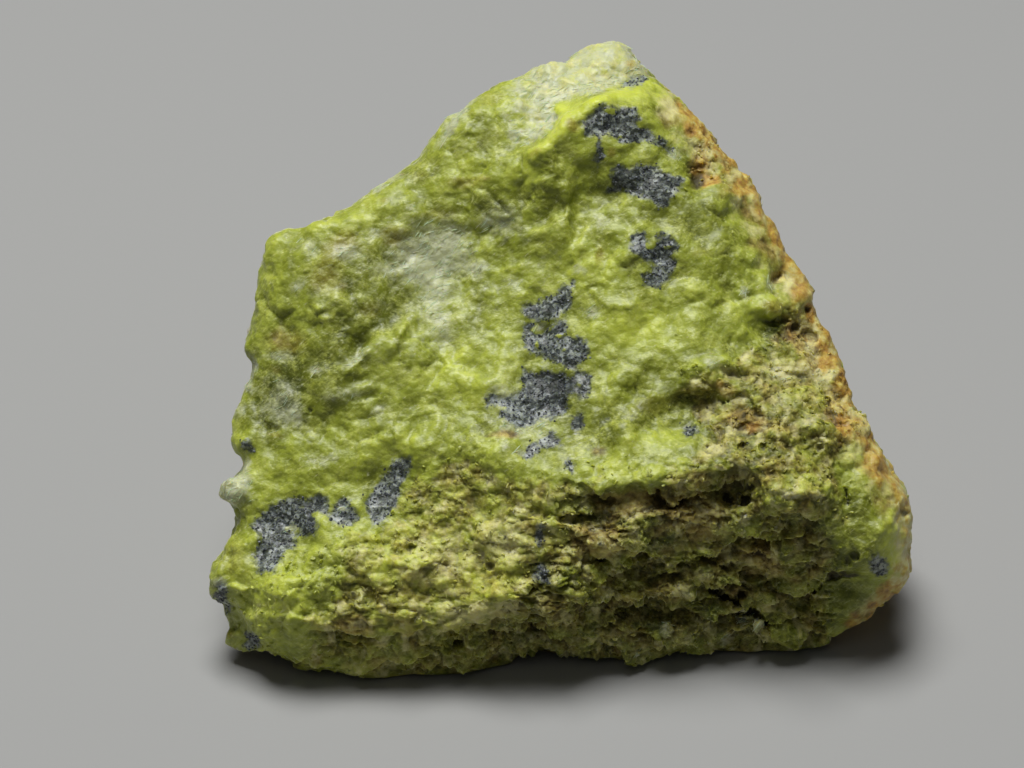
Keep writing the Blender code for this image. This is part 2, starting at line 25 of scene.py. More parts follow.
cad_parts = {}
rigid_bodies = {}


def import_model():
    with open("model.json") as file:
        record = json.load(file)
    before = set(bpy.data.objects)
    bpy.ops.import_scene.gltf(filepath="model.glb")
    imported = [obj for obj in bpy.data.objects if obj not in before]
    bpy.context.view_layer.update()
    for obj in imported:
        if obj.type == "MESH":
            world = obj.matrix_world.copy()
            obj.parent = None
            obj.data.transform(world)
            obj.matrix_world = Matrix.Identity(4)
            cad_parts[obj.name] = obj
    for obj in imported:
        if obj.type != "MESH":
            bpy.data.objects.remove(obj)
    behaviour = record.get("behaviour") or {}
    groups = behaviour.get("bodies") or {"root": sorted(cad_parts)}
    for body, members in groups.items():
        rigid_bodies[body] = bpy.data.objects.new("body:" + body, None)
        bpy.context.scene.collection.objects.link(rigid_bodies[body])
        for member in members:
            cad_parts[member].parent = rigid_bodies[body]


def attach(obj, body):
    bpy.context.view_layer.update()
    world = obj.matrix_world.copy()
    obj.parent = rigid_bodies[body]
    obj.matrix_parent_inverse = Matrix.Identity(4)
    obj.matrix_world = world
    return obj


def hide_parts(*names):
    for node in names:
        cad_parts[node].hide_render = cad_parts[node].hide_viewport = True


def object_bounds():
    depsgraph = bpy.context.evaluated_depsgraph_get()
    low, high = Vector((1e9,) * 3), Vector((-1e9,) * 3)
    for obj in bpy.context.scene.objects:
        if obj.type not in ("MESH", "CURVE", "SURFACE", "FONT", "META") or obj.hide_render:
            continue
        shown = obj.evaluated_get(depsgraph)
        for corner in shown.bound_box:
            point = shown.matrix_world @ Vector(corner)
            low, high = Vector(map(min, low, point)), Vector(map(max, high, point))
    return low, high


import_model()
CAD_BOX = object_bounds()

Array = np.ndarray
Line = Sequence[tuple[float, float]]
Range = tuple[float, float]
Triple = tuple[float, float, float]
Socket = bpy.types.NodeSocket

STONE_NODE = "lizardite_stone"
MM = 0.001
TINY = 1e-6
LOG = logging.getLogger("lizardite")

# Large odd numbers that take neighbouring lattice cells far apart, and a 32-bit word
CELL_FACTORS = (374761393, 668265263, 1103515245)
SEED_FACTOR = 974711
AXIS_STEP = 0x9E3779B1
MIXING_ROUNDS = ((15, 0x2C1B3C6D), (12, 0x297A2D39))
WORD = 0xFFFFFFFF

# What brings rounded noise to about -1 to 1, and the step between its layers' seeds
SWELL_GAIN = 1.5
OCTAVE_STEP = 31

# How far a granule's middle strays from its lattice cell's, in cells
GRANULE_STRAY = 0.45

# Sockets of a Mix node that mixes colours: its names are also those of other sockets
MIX_COVER, MIX_UNDER, MIX_UPPER, MIX_RESULT = 0, 6, 7, 2

# The skin's numbers that its material reads
PAINTED_NAMES = ("frost", "shade", "honey", "porous", "rust", "cream", "grainy", "broken", "ore",
                 "hole", "relief")


class Seed(IntEnum):
    """Picks the random pattern of each use. Some take the next few numbers too."""

    RELIEF_STRAY = 21
    OUTLINE_STRAY = 31
    BROKEN_EDGE = 33
    STAINS = 34
    MOTTLING = 35
    # Cream patches painted as highlights on the crumbly ledges
    LEDGE_TOPS = 36
    TAN_PATCHES = 37
    HIDDEN_FROST = 41
    HIDDEN_SHADE = 42
    HIDDEN_HONEY = 43
    HIDDEN_POROUS = 44
    HIDDEN_ORE = 45
    WAXY_GRAINS = 60
    CRUMB_GRAINS = 70
    SHARDS = 80
    FINE_ROUGHNESS = 95
    BROAD_ROUGHNESS = 96
    WAXY_STRENGTH = 97
    CRUMB_STRENGTH = 98


@dataclass(frozen=True)
class LeaningSheet:
    """The leaning sheet that the front is laid out on, and the eye that looks square at it.

    Attributes:
        lean: Angle of the line of sight above the horizon, in degrees.
        eye_distance: From the sheet to the eye, in millimetres.
        aim_u: Where the line of sight to the picture's middle meets the sheet.
        aim_v: The same, up the sheet.
        footprint_x: Middle of the stone's footprint on the sheet's own axes.
        footprint_y: The same, away from the eye.
    """

    lean: float = 35.0
    eye_distance: float = 284.4
    aim_u: float = -4.8
    aim_v: float = 29.6
    footprint_x: float = 0.273
    footprint_y: float = 25.002

    @property
    def axes(self) -> tuple[Array, Array, Array]:
        """Unit vectors to the right, up the sheet and out of the sheet."""
        lean = math.radians(self.lean)
        right = np.array([1.0, 0.0, 0.0])
        up = np.array([0.0, math.sin(lean), math.cos(lean)])
        out = np.array([0.0, -math.cos(lean), math.sin(lean)])
        return right, up, out

    @property
    def middle(self) -> Array:
        """The footprint's middle, which the stone's own frame has at its origin."""
        return np.array([self.footprint_x, self.footprint_y, 0.0])

    def lay_out(self, points: Array) -> Array:
        """Sheet coordinates of points.

        Args:
            points: Rows of x, y and z in millimetres.

        Returns:
            Rows of u, v and w in millimetres.
        """
        right, up, out = self.axes
        raw = points + self.middle
        w = raw @ out
        spread = 1.0 - w / self.eye_distance
        u = self.aim_u + (raw @ right - self.aim_u) / spread
        v = self.aim_v + (raw @ up - self.aim_v) / spread
        return np.column_stack([u, v, w])

    def stand_up(self, sheet: Array) -> Array:
        """The reverse of lay_out.

        Args:
            sheet: Rows of u, v and w in millimetres.

        Returns:
            Rows of x, y and z in millimetres.
        """
        right, up, out = self.axes
        u, v, w = sheet.T
        spread = 1.0 - w / self.eye_distance
        across = self.aim_u + (u - self.aim_u) * spread
        along = self.aim_v + (v - self.aim_v) * spread
        raw = np.outer(across, right) + np.outer(along, up) + np.outer(w, out)
        return raw - self.middle

    @property
    def eye(self) -> Array:
        """Where the eye is, in millimetres."""
        right, up, out = self.axes
        aim = self.aim_u * right + self.aim_v * up
        return aim + self.eye_distance * out - self.middle


SHEET = LeaningSheet()


def smooth_step(value: Array, low: float, high: float) -> Array:
    """0 below low, 1 above high and an even curve between."""
    share = np.clip((value - low) / (high - low), 0.0, 1.0)
    return share * share * (3.0 - 2.0 * share)


def scrambled(cells: Array, seed: int) -> Array:
    """Three numbers from -1 to 1 for each lattice cell, always the same ones for a cell.

    Args:
        cells: Rows of three whole numbers.
        seed: Picks another set of numbers.

    Returns:
        Rows of three numbers.
    """
    x, y, z = (cells[:, axis].astype(np.int64) * CELL_FACTORS[axis] for axis in range(3))
    base = (x + y + z + seed * SEED_FACTOR) & WORD
    columns = []
    for axis in range(3):
        mixed = (base + axis * AXIS_STEP) & WORD
        for shift, factor in MIXING_ROUNDS:
            mixed = ((mixed ^ (mixed >> shift)) * factor) & WORD
        columns.append((mixed ^ (mixed >> 15)) / 2.0 ** 31 - 1.0)
    return np.column_stack(columns)


def swell(points: Array, size: float, seed: int, octaves: int = 1) -> Array:
    """Rounded noise, about -1 to 1.

    Args:
        points: Rows of three coordinates.
        size: Distance over which the noise goes up and down, in the points' unit.
        seed: Picks another pattern.
        octaves: How many layers it has, each half the size and half the height of the last.

    Returns:
        One number for each point.
    """
    total = np.zeros(len(points))
    height = 1.0
    for octave in range(octaves):
        scaled = points / size
        cell = np.floor(scaled).astype(np.int64)
        inside = scaled - cell
        fade = inside ** 3 * (inside * (inside * 6.0 - 15.0) + 10.0)
        for corner in np.ndindex(2, 2, 2):
            slope = scrambled(cell + corner, seed + OCTAVE_STEP * octave)
            pull = ((inside - corner) * slope).sum(axis=1)
            share = np.where(np.array(corner) == 1, fade, 1.0 - fade).prod(axis=1)
            total += SWELL_GAIN * height * share * pull
        size, height = size / 2.0, height / 2.0
    return total


def bent(points: Array, size: float, reach: float, seed: int, octaves: int = 1) -> Array:
    """Points pushed about by rounded noise, so that a pattern laid over them curves.

    Args:
        points: Rows of three coordinates.
        size: Distance over which the noise goes up and down.
        reach: How far it pushes.
        seed: Picks another pattern, with the next two numbers.
        octaves: How many layers the noise has.

    Returns:
        Rows of three coordinates.
    """
    pushes = [swell(points, size, seed + axis, octaves) for axis in range(3)]
    return points + reach * np.column_stack(pushes)


def granules(points: Array, size: float, seed: int) -> tuple[Array, Array, Array]:
    """Grains packed side by side.

    Args:
        points: Rows of three coordinates.
        size: Distance from grain to grain.
        seed: Picks another packing.

    Returns:
        Distance to the seam with the next grain, 0 at the seam and about 0.5 inside; three
        numbers from -1 to 1 that are one grain's own; and the way from its middle, in sizes.
    """
    scaled = points / size
    home = np.floor(scaled).astype(np.int64)
    first = np.full(len(points), np.inf)
    second = np.full(len(points), np.inf)
    own, away = np.zeros((len(points), 3)), np.zeros((len(points), 3))
    for corner in np.ndindex(3, 3, 3):
        cell = home + np.array(corner) - 1
        jitter = scrambled(cell, seed)
        way = scaled - cell - 0.5 - GRANULE_STRAY * jitter
        gap = np.linalg.norm(way, axis=1)
        nearer = gap < first
        second = np.where(nearer, first, np.minimum(second, gap))
        own[nearer], away[nearer] = jitter[nearer], way[nearer]
        first = np.where(nearer, gap, first)
    return second - first, own, away


def line_gap(u: Array, v: Array, line: Line) -> tuple[Array, Array, Array]:
    """Distance from each place on the sheet to a line.

    Args:
        u: Places across the sheet.
        v: Places up the sheet.
        line: The line's points.

    Returns:
        The distance, the side (1 on the left of the line, -1 on the right) and the share of
        the line's length at which the nearest point lies.
    """
    nearest = np.full(len(u), np.inf)
    side = np.ones(len(u))
    along = np.zeros(len(u))
    passed = 0.0
    for (u0, v0), (u1, v1) in zip(line, line[1:]):
        run_u, run_v = u1 - u0, v1 - v0
        length = max(math.hypot(run_u, run_v), TINY)
        share = np.clip(((u - u0) * run_u + (v - v0) * run_v) / length ** 2, 0.0, 1.0)
        off_u, off_v = u - u0 - share * run_u, v - v0 - share * run_v
        gap = np.hypot(off_u, off_v)
        closer = gap < nearest
        nearest = np.where(closer, gap, nearest)
        side = np.where(closer, np.where(run_u * off_v - run_v * off_u >= 0.0, 1.0, -1.0), side)
        along = np.where(closer, passed + share * length, along)
        passed += length
    return nearest, side, along / passed


def inside_outline(u: Array, v: Array, outline: Line) -> Array:
    """Signed distance to a closed outline.

    Args:
        u: Places across the sheet.
        v: Places up the sheet.
        outline: The outline's corners.

    Returns:
        The distance at each place, positive inside.
    """
    closed = list(outline) + [outline[0]]
    gap = line_gap(u, v, closed)[0]
    crossings = np.zeros(len(u), dtype=int)
    for (u0, v0), (u1, v1) in zip(closed, closed[1:]):
        spans = (v0 > v) != (v1 > v)
        meets = u0 + (v - v0) * (u1 - u0) / ((v1 - v0) or TINY)
        crossings += spans & (u < meets)
    return np.where(crossings % 2 == 1, gap, -gap)


class Relief(ABC):
    """A small shape of the front, placed on the sheet."""

    @abstractmethod
    def relief(self, u: Array, v: Array) -> Array:
        """How far it moves the front out at each place, in millimetres."""

    @property
    def opens(self) -> bool:
        """Whether it is a crack or a hole, which gets painted shade inside."""
        return False


class Form(Enum):
    """How a stroke shapes the front."""

    RIDGE = "stands out along its line"
    GROOVE = "cuts in along its line with rounded walls"
    FISSURE = "cuts in along its line with sharp walls"
    STEP = "stands out on the left of its line and dies away behind it"


@dataclass(frozen=True)
class Stroke(Relief):
    """A ridge, groove, fissure or step along a line on the sheet.

    Attributes:
        form: How it shapes the front.
        line: Its points.
        width: Half its width, or a step's ramp, in millimetres.
        height: How far it stands out or cuts in.
        reach: How far behind a step's edge it stands proud.
        ends: Share of its length over which each end dies away.
    """

    form: Form
    line: Line
    width: float
    height: float
    reach: float = 2.5
    ends: float = 0.2

    def relief(self, u: Array, v: Array) -> Array:
        """How far it moves the front out.

        Args:
            u: Places across the sheet.
            v: Places up the sheet.

        Returns:
            Millimetres at each place, negative where it cuts in.
        """
        gap, side, along = line_gap(u, v, self.line)
        fade = smooth_step(np.minimum(along, 1.0 - along), 0.0, self.ends)
        if self.form is Form.STEP:
            edge = np.tanh(side * gap / self.width)
            return 0.5 * self.height * fade * edge * np.exp(-(gap / self.reach) ** 2)
        if self.form is Form.FISSURE:
            return -self.height * fade * np.clip(1.0 - gap / self.width, 0.0, 1.0)
        bulge = self.height * fade * np.exp(-0.5 * (gap / self.width) ** 2)
        return -bulge if self.form is Form.GROOVE else bulge

    @property
    def opens(self) -> bool:
        """Whether it is a crack."""
        return self.form is Form.FISSURE


@dataclass(frozen=True)
class Lump(Relief):
    """A rounded lump, or a hollow where its height is negative, or a blot of that form.

    Attributes:
        u: Its middle across the sheet.
        v: Its middle up the sheet.
        along: Half its length.
        across: Half its width.
        height: How far it stands out, or a blot's strength.
        turn: Angle of its length above the right, in degrees.
        steepness: How steeply it ends.
    """

    u: float
    v: float
    along: float
    across: float
    height: float
    turn: float = 0.0
    steepness: float = 1.3

    def share(self, u: Array, v: Array) -> Array:
        """How much of it lies on each place.

        Args:
            u: Places across the sheet.
            v: Places up the sheet.

        Returns:
            1 at its middle and 0 well outside it.
        """
        turn = math.radians(self.turn)
        off_u, off_v = u - self.u, v - self.v
        lengthwise = (off_u * math.cos(turn) + off_v * math.sin(turn)) / self.along
        sideways = (off_v * math.cos(turn) - off_u * math.sin(turn)) / self.across
        return np.exp(-(lengthwise ** 2 + sideways ** 2) ** self.steepness)

    def relief(self, u: Array, v: Array) -> Array:
        """How far it moves the front out at each place."""
        return self.height * self.share(u, v)


@dataclass(frozen=True)
class Pit(Relief):
    """A round pit.

    Attributes:
        u: Its middle across the sheet.
        v: Its middle up the sheet.
        radius: Its radius, in millimetres.
        depth: How far it cuts in.
        steepness: How steep its walls are.
    """

    u: float
    v: float
    radius: float
    depth: float
    steepness: float = 1.5

    def relief(self, u: Array, v: Array) -> Array:
        """How far it moves the front out at each place: a negative number."""
        away = ((u - self.u) ** 2 + (v - self.v) ** 2) / self.radius ** 2
        return -self.depth * np.exp(-away ** self.steepness)

    @property
    def opens(self) -> bool:
        """Whether it is a hole, as all pits are."""
        return True


def covered(blots: Sequence[Lump], u: Array, v: Array) -> Array:
    """How strongly a set of soft blots covers each place.

    Args:
        blots: The blots, whose heights are their strengths.
        u: Places across the sheet.
        v: Places up the sheet.

    Returns:
        A number from 0 to 1 for each place.
    """
    left = np.ones(len(u))
    for blot in blots:
        left *= 1.0 - blot.height * blot.share(u, v)
    return 1.0 - left


@dataclass(frozen=True)
class Patches:
    """Random patches with soft edges.

    Attributes:
        size: Distance from one patch to the next, in millimetres.
        seed: Picks another pattern.
        low: Noise at which a patch begins.
        high: Noise from which it is full.
        octaves: How many layers the noise has.
    """

    size: float
    seed: int
    low: float
    high: float
    octaves: int = 2

    def noise(self, points: Array) -> Array:
        """The rounded noise that the patches come from."""
        return swell(points, self.size, self.seed, self.octaves)

    def share(self, points: Array) -> Array:
        """0 between the patches and 1 inside them."""
        return smooth_step(self.noise(points), self.low, self.high)


@dataclass(frozen=True)
class Grains:
    """Granules of several sizes over each other, each rounded and parted by seams.

    Attributes:
        layers: Size across and height of each layer, coarse to fine, in millimetres.
        seed: Picks another packing.
        dome: How steeply a granule rises from its seams.
        mean: Height of a granule's surface on average, which is taken off.
        unevenness: How much higher or lower than that whole granules stand.
    """

    layers: tuple[tuple[float, float], ...]
    seed: int
    dome: float = 1.6
    mean: float = 0.72
    unevenness: float = 0.3

    def height(self, points: Array) -> Array:
        """How far they raise the rock.

        Args:
            points: Rows of x, y and z in millimetres.

        Returns:
            Millimetres at each point.
        """
        total = np.zeros(len(points))
        for step, (size, height) in enumerate(self.layers):
            curved = bent(points, 1.3 * size, 0.3 * size, self.seed + 10 * step)
            seam, own, _ = granules(curved, size, self.seed + step)
            dome = np.sqrt(np.clip(seam * self.dome, 0.0, 1.0))
            total += height * (dome - self.mean + self.unevenness * own[:, 0])
        return total


@dataclass(frozen=True)
class Shards:
    """Broken shards, each with its own slant and most of them jutting out below.

    Attributes:
        layers: Size across and height of each layer, coarse to fine, in millimetres.
        seed: Picks another packing.
        squat: How many times wider than high they are.
        slant: How far one tips sideways, at most, as a share of its size.
        jut: How far one stands out below on average, likewise.
        jut_range: How much more or less than that.
        unevenness: How much higher or lower than the others a whole shard stands.
        split: Depth and width of the seams between them, as shares.
    """

    layers: tuple[tuple[float, float], ...]
    seed: int
    squat: float = 1.6
    slant: float = 0.8
    jut: float = 0.9
    jut_range: float = 0.6
    unevenness: float = 0.45
    split: tuple[float, float] = (0.16, 0.15)

    def height(self, sheet: Array) -> Array:
        """How far they raise the rock.

        Args:
            sheet: Rows of u, v and w in millimetres.

        Returns:
            Millimetres at each point.
        """
        ledges = sheet * [1.0, self.squat, 1.0]
        total = np.zeros(len(ledges))
        depth, width = self.split
        for step, (size, height) in enumerate(self.layers):
            curved = bent(ledges, 1.2 * size, 0.25 * size, self.seed + 10 * step, 2)
            seam, own, away = granules(curved, size, self.seed + step)
            tip = self.slant * own[:, 0] * away[:, 0]
            tip += (self.jut_range * own[:, 1] - self.jut) * away[:, 1]
            gap = 1.0 - smooth_step(seam, 0.0, width)
            total += height * (tip + self.unevenness * own[:, 2] - depth * gap)
        return total


def linear(hex_colour: str) -> tuple[float, float, float, float]:
    """Turn an sRGB hex value to a linear colour.

    Args:
        hex_colour: Such as #c0c3a0.

    Returns:
        Red, green, blue and alpha, from 0 to 1.
    """
    channels = [int(hex_colour[start:start + 2], 16) / 255.0 for start in (1, 3, 5)]
    opened = [c / 12.92 if c <= 0.04045 else ((c + 0.055) / 1.055) ** 2.4 for c in channels]
    return (*opened, 1.0)


def add_node(tree: bpy.types.NodeTree, kind: str, inputs: dict[str | int, object] | None = None,
             output: str | int = 0, **settings: object) -> Socket:
    """Add a node with its settings, and set or link its inputs.

    Args:
        tree: The tree it goes into.
        kind: The node's type name.
        inputs: Values for its sockets, output sockets to link to them, or sRGB hex colours.
        output: The output that is wanted.
        **settings: Values of the node's own properties. stops are a colour ramp's places, each
            with an sRGB hex colour.

    Returns:
        The wanted output socket, or None for a node that has none.
    """
    node = tree.nodes.new(kind)
    stops = settings.pop("stops", ())
    for name, value in settings.items():
        setattr(node, name, value)
    for _ in stops[2:]:
        node.color_ramp.elements.new(1.0)
    for index, (place, _) in enumerate(stops):
        node.color_ramp.elements[index].position = place
    for index, (_, colour) in enumerate(stops):
        node.color_ramp.elements[index].color = linear(colour)
    for key, value in (inputs or {}).items():
        socket = node.inputs[key]
        if isinstance(value, Socket):
            tree.links.new(value, socket)
        elif isinstance(value, str) and value.startswith("#"):
            socket.default_value = linear(value)
        else:
            socket.default_value = value
    return node.outputs[output] if len(node.outputs) else None


class Paint:
    """Builds one procedural material on top of its Principled surface.

    Lengths are given in millimetres, and patterns are laid over the piece's Object coordinates,
    which are in metres.
    """

    def __init__(self, name: str) -> None:
        """Start a material with nothing but its surface and its coordinates.

        Args:
            name: The material's name.
        """
        self.material = bpy.data.materials.new(name)
        self.material.use_nodes = True
        self.tree = self.material.node_tree
        self.surface = self.tree.nodes["Principled BSDF"]
        self.place = self.add("TexCoord", output="Object")

    def add(self, kind: str, inputs: dict[str | int, object] | None = None,
            output: str | int = 0, **settings: object) -> Socket:
        """Add a shader node to this material; see add_node."""
        return add_node(self.tree, "ShaderNode" + kind, inputs, output, **settings)

    def cloud(self, size: float, detail: float = 4.0, rough: float = 0.6,
              stretch: float = 1.0, rise: float = 0.0) -> Socket:
        """Cloudy pattern from 0 to 1, drawn out along a slanting direction if wanted.

        Args:
            size: Distance over which it goes up and down.
            detail: How many finer layers it has.
            rough: How strong the finer layers are.
            stretch: How many times longer it is along its direction.
            rise: How steeply that direction rises to the right, in degrees.

        Returns:
            The pattern's value.
        """
        place = self.place
        if stretch != 1.0:
            turned = self.add("Mapping", {"Vector": place,
                                          "Rotation": (0.0, math.radians(rise), 0.0)})
            place = self.add("Mapping", {"Vector": turned, "Scale": (1.0 / stretch, 1.0, 1.0)})
        return self.add("TexNoise", {"Vector": place, "Scale": 1.0 / (size * MM),
                                     "Detail": detail, "Roughness": rough}, "Fac")

    def mixture(self, *shares: tuple[object, float]) -> Socket:
        """Add up values, each times its share.

        Args:
            *shares: The values, as sockets or numbers, with their shares.

        Returns:
            The sum.
        """
        total = 0.0
        for value, share in shares:
            total = self.add("Math", {0: value, 1: share, 2: total}, operation="MULTIPLY_ADD")
        return total

    def cover(self, low: float, high: float, *shares: tuple[object, float],
              most: float = 1.0) -> Socket:
        """How far a layer covers the one below.

        Args:
            low: Mixture up to which it doesn't cover at all.
            high: Mixture from which it covers most.
            *shares: The mixture's values, each with its share.
            most: How far it covers there.

        Returns:
            The cover, from 0 to most.
        """
        return self.add("MapRange", {"Value": self.mixture(*shares), "From Min": low,
                                     "From Max": high, "To Max": most},
                        interpolation_type="SMOOTHSTEP")

    def layer(self, under: object, upper: object, low: float, high: float,
              *shares: tuple[object, float], most: float = 1.0) -> Socket:
        """Lay one colour over another where a mixture of values is high.

        Args:
            under: The colour below.
            upper: The colour on top.
            low: As in cover.
            high: As in cover.
            *shares: As in cover.
            most: As in cover.

        Returns:
            The colour of both.
        """
        cover = self.cover(low, high, *shares, most=most)
        return self.add("Mix", {MIX_COVER: cover, MIX_UNDER: under, MIX_UPPER: upper},
                        MIX_RESULT, data_type="RGBA")

    def finish(self, colour: object, roughness: object, normal: object = None,
               **others: object) -> bpy.types.Material:
        """Join the colour, roughness and unevenness to the surface.

        Args:
            colour: The base colour, as a socket or a linear colour.
            roughness: A number or socket.
            normal: The uneven normal, if any.
            **others: Numbers or sockets for its other inputs, by name with _ for a space.

        Returns:
            The finished material.
        """
        wanted = {"Base Color": colour, "Roughness": roughness, "Normal": normal,
                  **{name.replace("_", " "): value for name, value in others.items()}}
        for name, value in wanted.items():
            if isinstance(value, Socket):
                self.tree.links.new(value, self.surface.inputs[name])
            elif value is not None:
                self.surface.inputs[name].default_value = value
        return self.material


@dataclass(frozen=True)
class WaxyLizardite:
    """Lizardite, a serpentine mineral, broken by hand and never polished.

    It is waxy and a little translucent: light sinks in and comes out yellow-green. Raised grains
    are painted paler and hollows deeper olive: painted light and shade. Where weather got in it
    turns brown and porous, and on the right side it wears a crust of ochre iron rust. The colours
    are sRGB hex values.

    Attributes:
        translucence: Share of the light that sinks in.
        sinking: How far it sinks in, in millimetres.
        tinge: How far each of red, green and blue goes of that.
    """

    deep_olive: str = "#525a12"
    olive: str = "#7a8220"
    green: str = "#959f34"
    bright: str = "#aeb842"
    vivid: str = "#c8d24a"
    pale: str = "#c4ca64"
    # Colour of the painted glints, and of the painted sheen where the rock is seen at a low angle
    glint: str = "#dde0b8"
    honey: str = "#8f8430"
    frost: str = "#c0c3a0"
    cream: str = "#d4ce90"
    tan: str = "#baa660"
    straw: str = "#d0c478"
    porous_brown: str = "#806932"
    dark_brown: str = "#4a3a18"
    ochre: str = "#b38a3e"
    gold: str = "#c4aa50"
    rust: str = "#7c5a2a"
    # Painted shade inside cracks and pits
    hole: str = "#30270f"
    ore: str = "#23282a"
    ore_grey: str = "#565d5c"
    ore_glint: str = "#a2a9a0"
    halo: str = "#4a5138"
    translucence: float = 0.8
    sinking: float = 1.1
    tinge: Triple = (1.0, 0.95, 0.3)

    def build(self) -> bpy.types.Material:
        """Make the material, which reads the skin's own painted numbers.

        Returns:
            The material.
        """
        paint = Paint("waxy_lizardite_rock")
        painted = {name: paint.add("Attribute", output="Fac", attribute_name=name)
                   for name in PAINTED_NAMES}
        fine = paint.cloud(0.6, 5.0, 0.65)
        colour = self.wax(paint, painted, fine)
        porous, colour = self.weather(paint, painted, fine, colour)
        ore, colour = self.magnetite(paint, painted, colour)
        # Painted shade inside cracks and pits, deeper ones darker
        colour = paint.layer(colour, self.hole, 0.4, 1.2, (painted["hole"], 1.0))
        rough = paint.mixture((fine, 0.2), (porous, 0.25), (ore, -0.04), (1.0, 0.38))
        coat = paint.mixture((porous, -0.15), (painted["broken"], -0.1), (1.0, 0.16))
        return paint.finish(colour, rough, self.unevenness(paint, painted, fine),
                            Subsurface_Weight=self.translucence,
                            Subsurface_Scale=self.sinking * MM, Subsurface_Radius=self.tinge,
                            Specular_IOR_Level=0.35, IOR=1.55, Coat_Weight=coat,
                            Coat_Roughness=0.26)

    def unevenness(self, paint: Paint, painted: dict[str, Socket], fine: Socket) -> Socket:
        """Chips of 0.8 mm and finer silk that catch the light, deeper where the rock is broken.

        Args:
            paint: The material's builder.
            painted: The skin's numbers.
            fine: Fine clouds.

        Returns:
            The uneven normal.
        """
        squat = paint.add("Mapping", {"Vector": paint.place, "Scale": (1.0, 1.0, 1.5)})
        chips = paint.add("TexVoronoi", {"Vector": squat, "Scale": 1.0 / (0.8 * MM)},
                          "Distance", feature="F1")
        silk = paint.cloud(0.15, 2.0, 0.5, 3.0, 38.0)
        depth = paint.mixture((painted["broken"], 0.25), (painted["grainy"], 0.06), (1.0, 0.15))
        rises = paint.mixture((chips, -0.6), (fine, 0.35), (paint.cloud(0.8, 2.0, 0.5), 0.8))
        height = paint.mixture((rises, depth), (silk, 0.05))
        return paint.add("Bump", {"Height": height, "Distance": MM})

    def wax(self, paint: Paint, painted: dict[str, Socket], fine: Socket) -> Socket:
        """The fresh rock: cloudy yellow-green with honey patches and a silky whitish film.

        The film is made of crossing threads about 0.2 mm thick. Fine streaks carry painted glints, and
        surfaces seen at a low angle, such as rims, get a pale painted sheen.

        Args:
            paint: The material's builder.
            painted: The skin's numbers.
            fine: Fine clouds.

        Returns:
            The colour.
        """
        broad, middle = paint.cloud(3.6, 5.0), paint.cloud(1.3, 3.0)
        # Relief makes raised grains lighter and hollows darker: painted light and shade. The shade tints
        # darken the tone as painted shade, and where negative lighten it as painted light
        tone = paint.mixture((broad, 0.54), (middle, 0.26), (fine, 0.18),
                             (painted["relief"], 0.06), (painted["shade"], -0.2))
        colour = paint.add("ValToRGB", {"Fac": tone}, stops=(
            (0.2, self.deep_olive), (0.36, self.olive), (0.49, self.green), (0.62, self.bright),
            (0.88, self.vivid)))
        colour = paint.layer(colour, self.honey, 0.45, 1.1, (painted["honey"], 1.0), (fine, 0.4),
                             most=0.85)
        rising = paint.cloud(0.24, 3.0, 0.65, 4.0, 40.0)
        falling = paint.cloud(0.2, 3.0, 0.65, 4.0, -35.0)
        films = paint.cloud(2.2, 3.0, 0.7)
        colour = paint.layer(colour, self.pale, 1.34, 1.95, (rising, 0.8), (falling, 0.8),
                             (films, 1.4), most=0.7)
        # Painted glints along the finest rising streaks
        colour = paint.layer(colour, self.glint, 0.62, 0.76, (rising, 1.0), most=0.55)
        colour = paint.layer(colour, self.frost, 1.15, 2.0, (painted["frost"], 1.0),
                             (paint.cloud(1.6), 0.9), (rising, 0.9), (falling, 0.4), most=0.85)
        # A pale painted sheen where the rock is seen at a low angle
        painted_rim_sheen = paint.add("LayerWeight", {"Blend": 0.4}, "Facing")
        return paint.layer(colour, self.glint, 0.7, 0.98, (painted_rim_sheen, 1.0), most=0.65)

    def weather(self, paint: Paint, painted: dict[str, Socket], fine: Socket,
                colour: Socket) -> tuple[Socket, Socket]:
        """Lay the tan and brown of weathered rock over the colour, then its ochre crust.

        Args:
            paint: The material's builder.
            painted: The skin's numbers.
            fine: Fine clouds.
            colour: The colour below.

        Returns:
            How far the weathered rock covers, and the colour.
        """
        clumps = paint.cloud(1.1, 4.0, 0.65)
        # Relief keeps raised grains less porous and makes the brown rock lighter on its tops and darker in
        # its hollows: painted light and shade
        porous = paint.cover(0.72, 1.2, (painted["porous"], 1.0), (paint.cloud(2.0), 0.8),
                             (painted["relief"], -0.1), most=0.88)
        earth = paint.mixture((fine, 0.5), (clumps, 0.5), (painted["relief"], 0.22))
        brown = paint.add("ValToRGB", {"Fac": earth}, stops=(
            (0.26, self.dark_brown), (0.4, self.porous_brown), (0.53, self.tan),
            (0.66, self.straw)))
        colour = paint.add("Mix", {MIX_COVER: porous, MIX_UNDER: colour, MIX_UPPER: brown},
                           MIX_RESULT, data_type="RGBA")
        colour = paint.layer(colour, self.cream, 0.62, 1.1, (painted["cream"], 1.0),
                             (clumps, 0.8), most=0.9)
        # Negative shade tints lighten the crust: painted light
        bloom = paint.mixture((clumps, 1.0), (painted["shade"], -0.15))
        crust = paint.add("ValToRGB", {"Fac": bloom}, stops=(
            (0.3, self.rust), (0.45, self.ochre), (0.58, self.gold), (0.74, self.cream)))
        return porous, paint.layer(colour, crust, 0.7, 1.25, (painted["rust"], 1.0),
                                   (paint.cloud(1.5), 0.9), most=0.92)

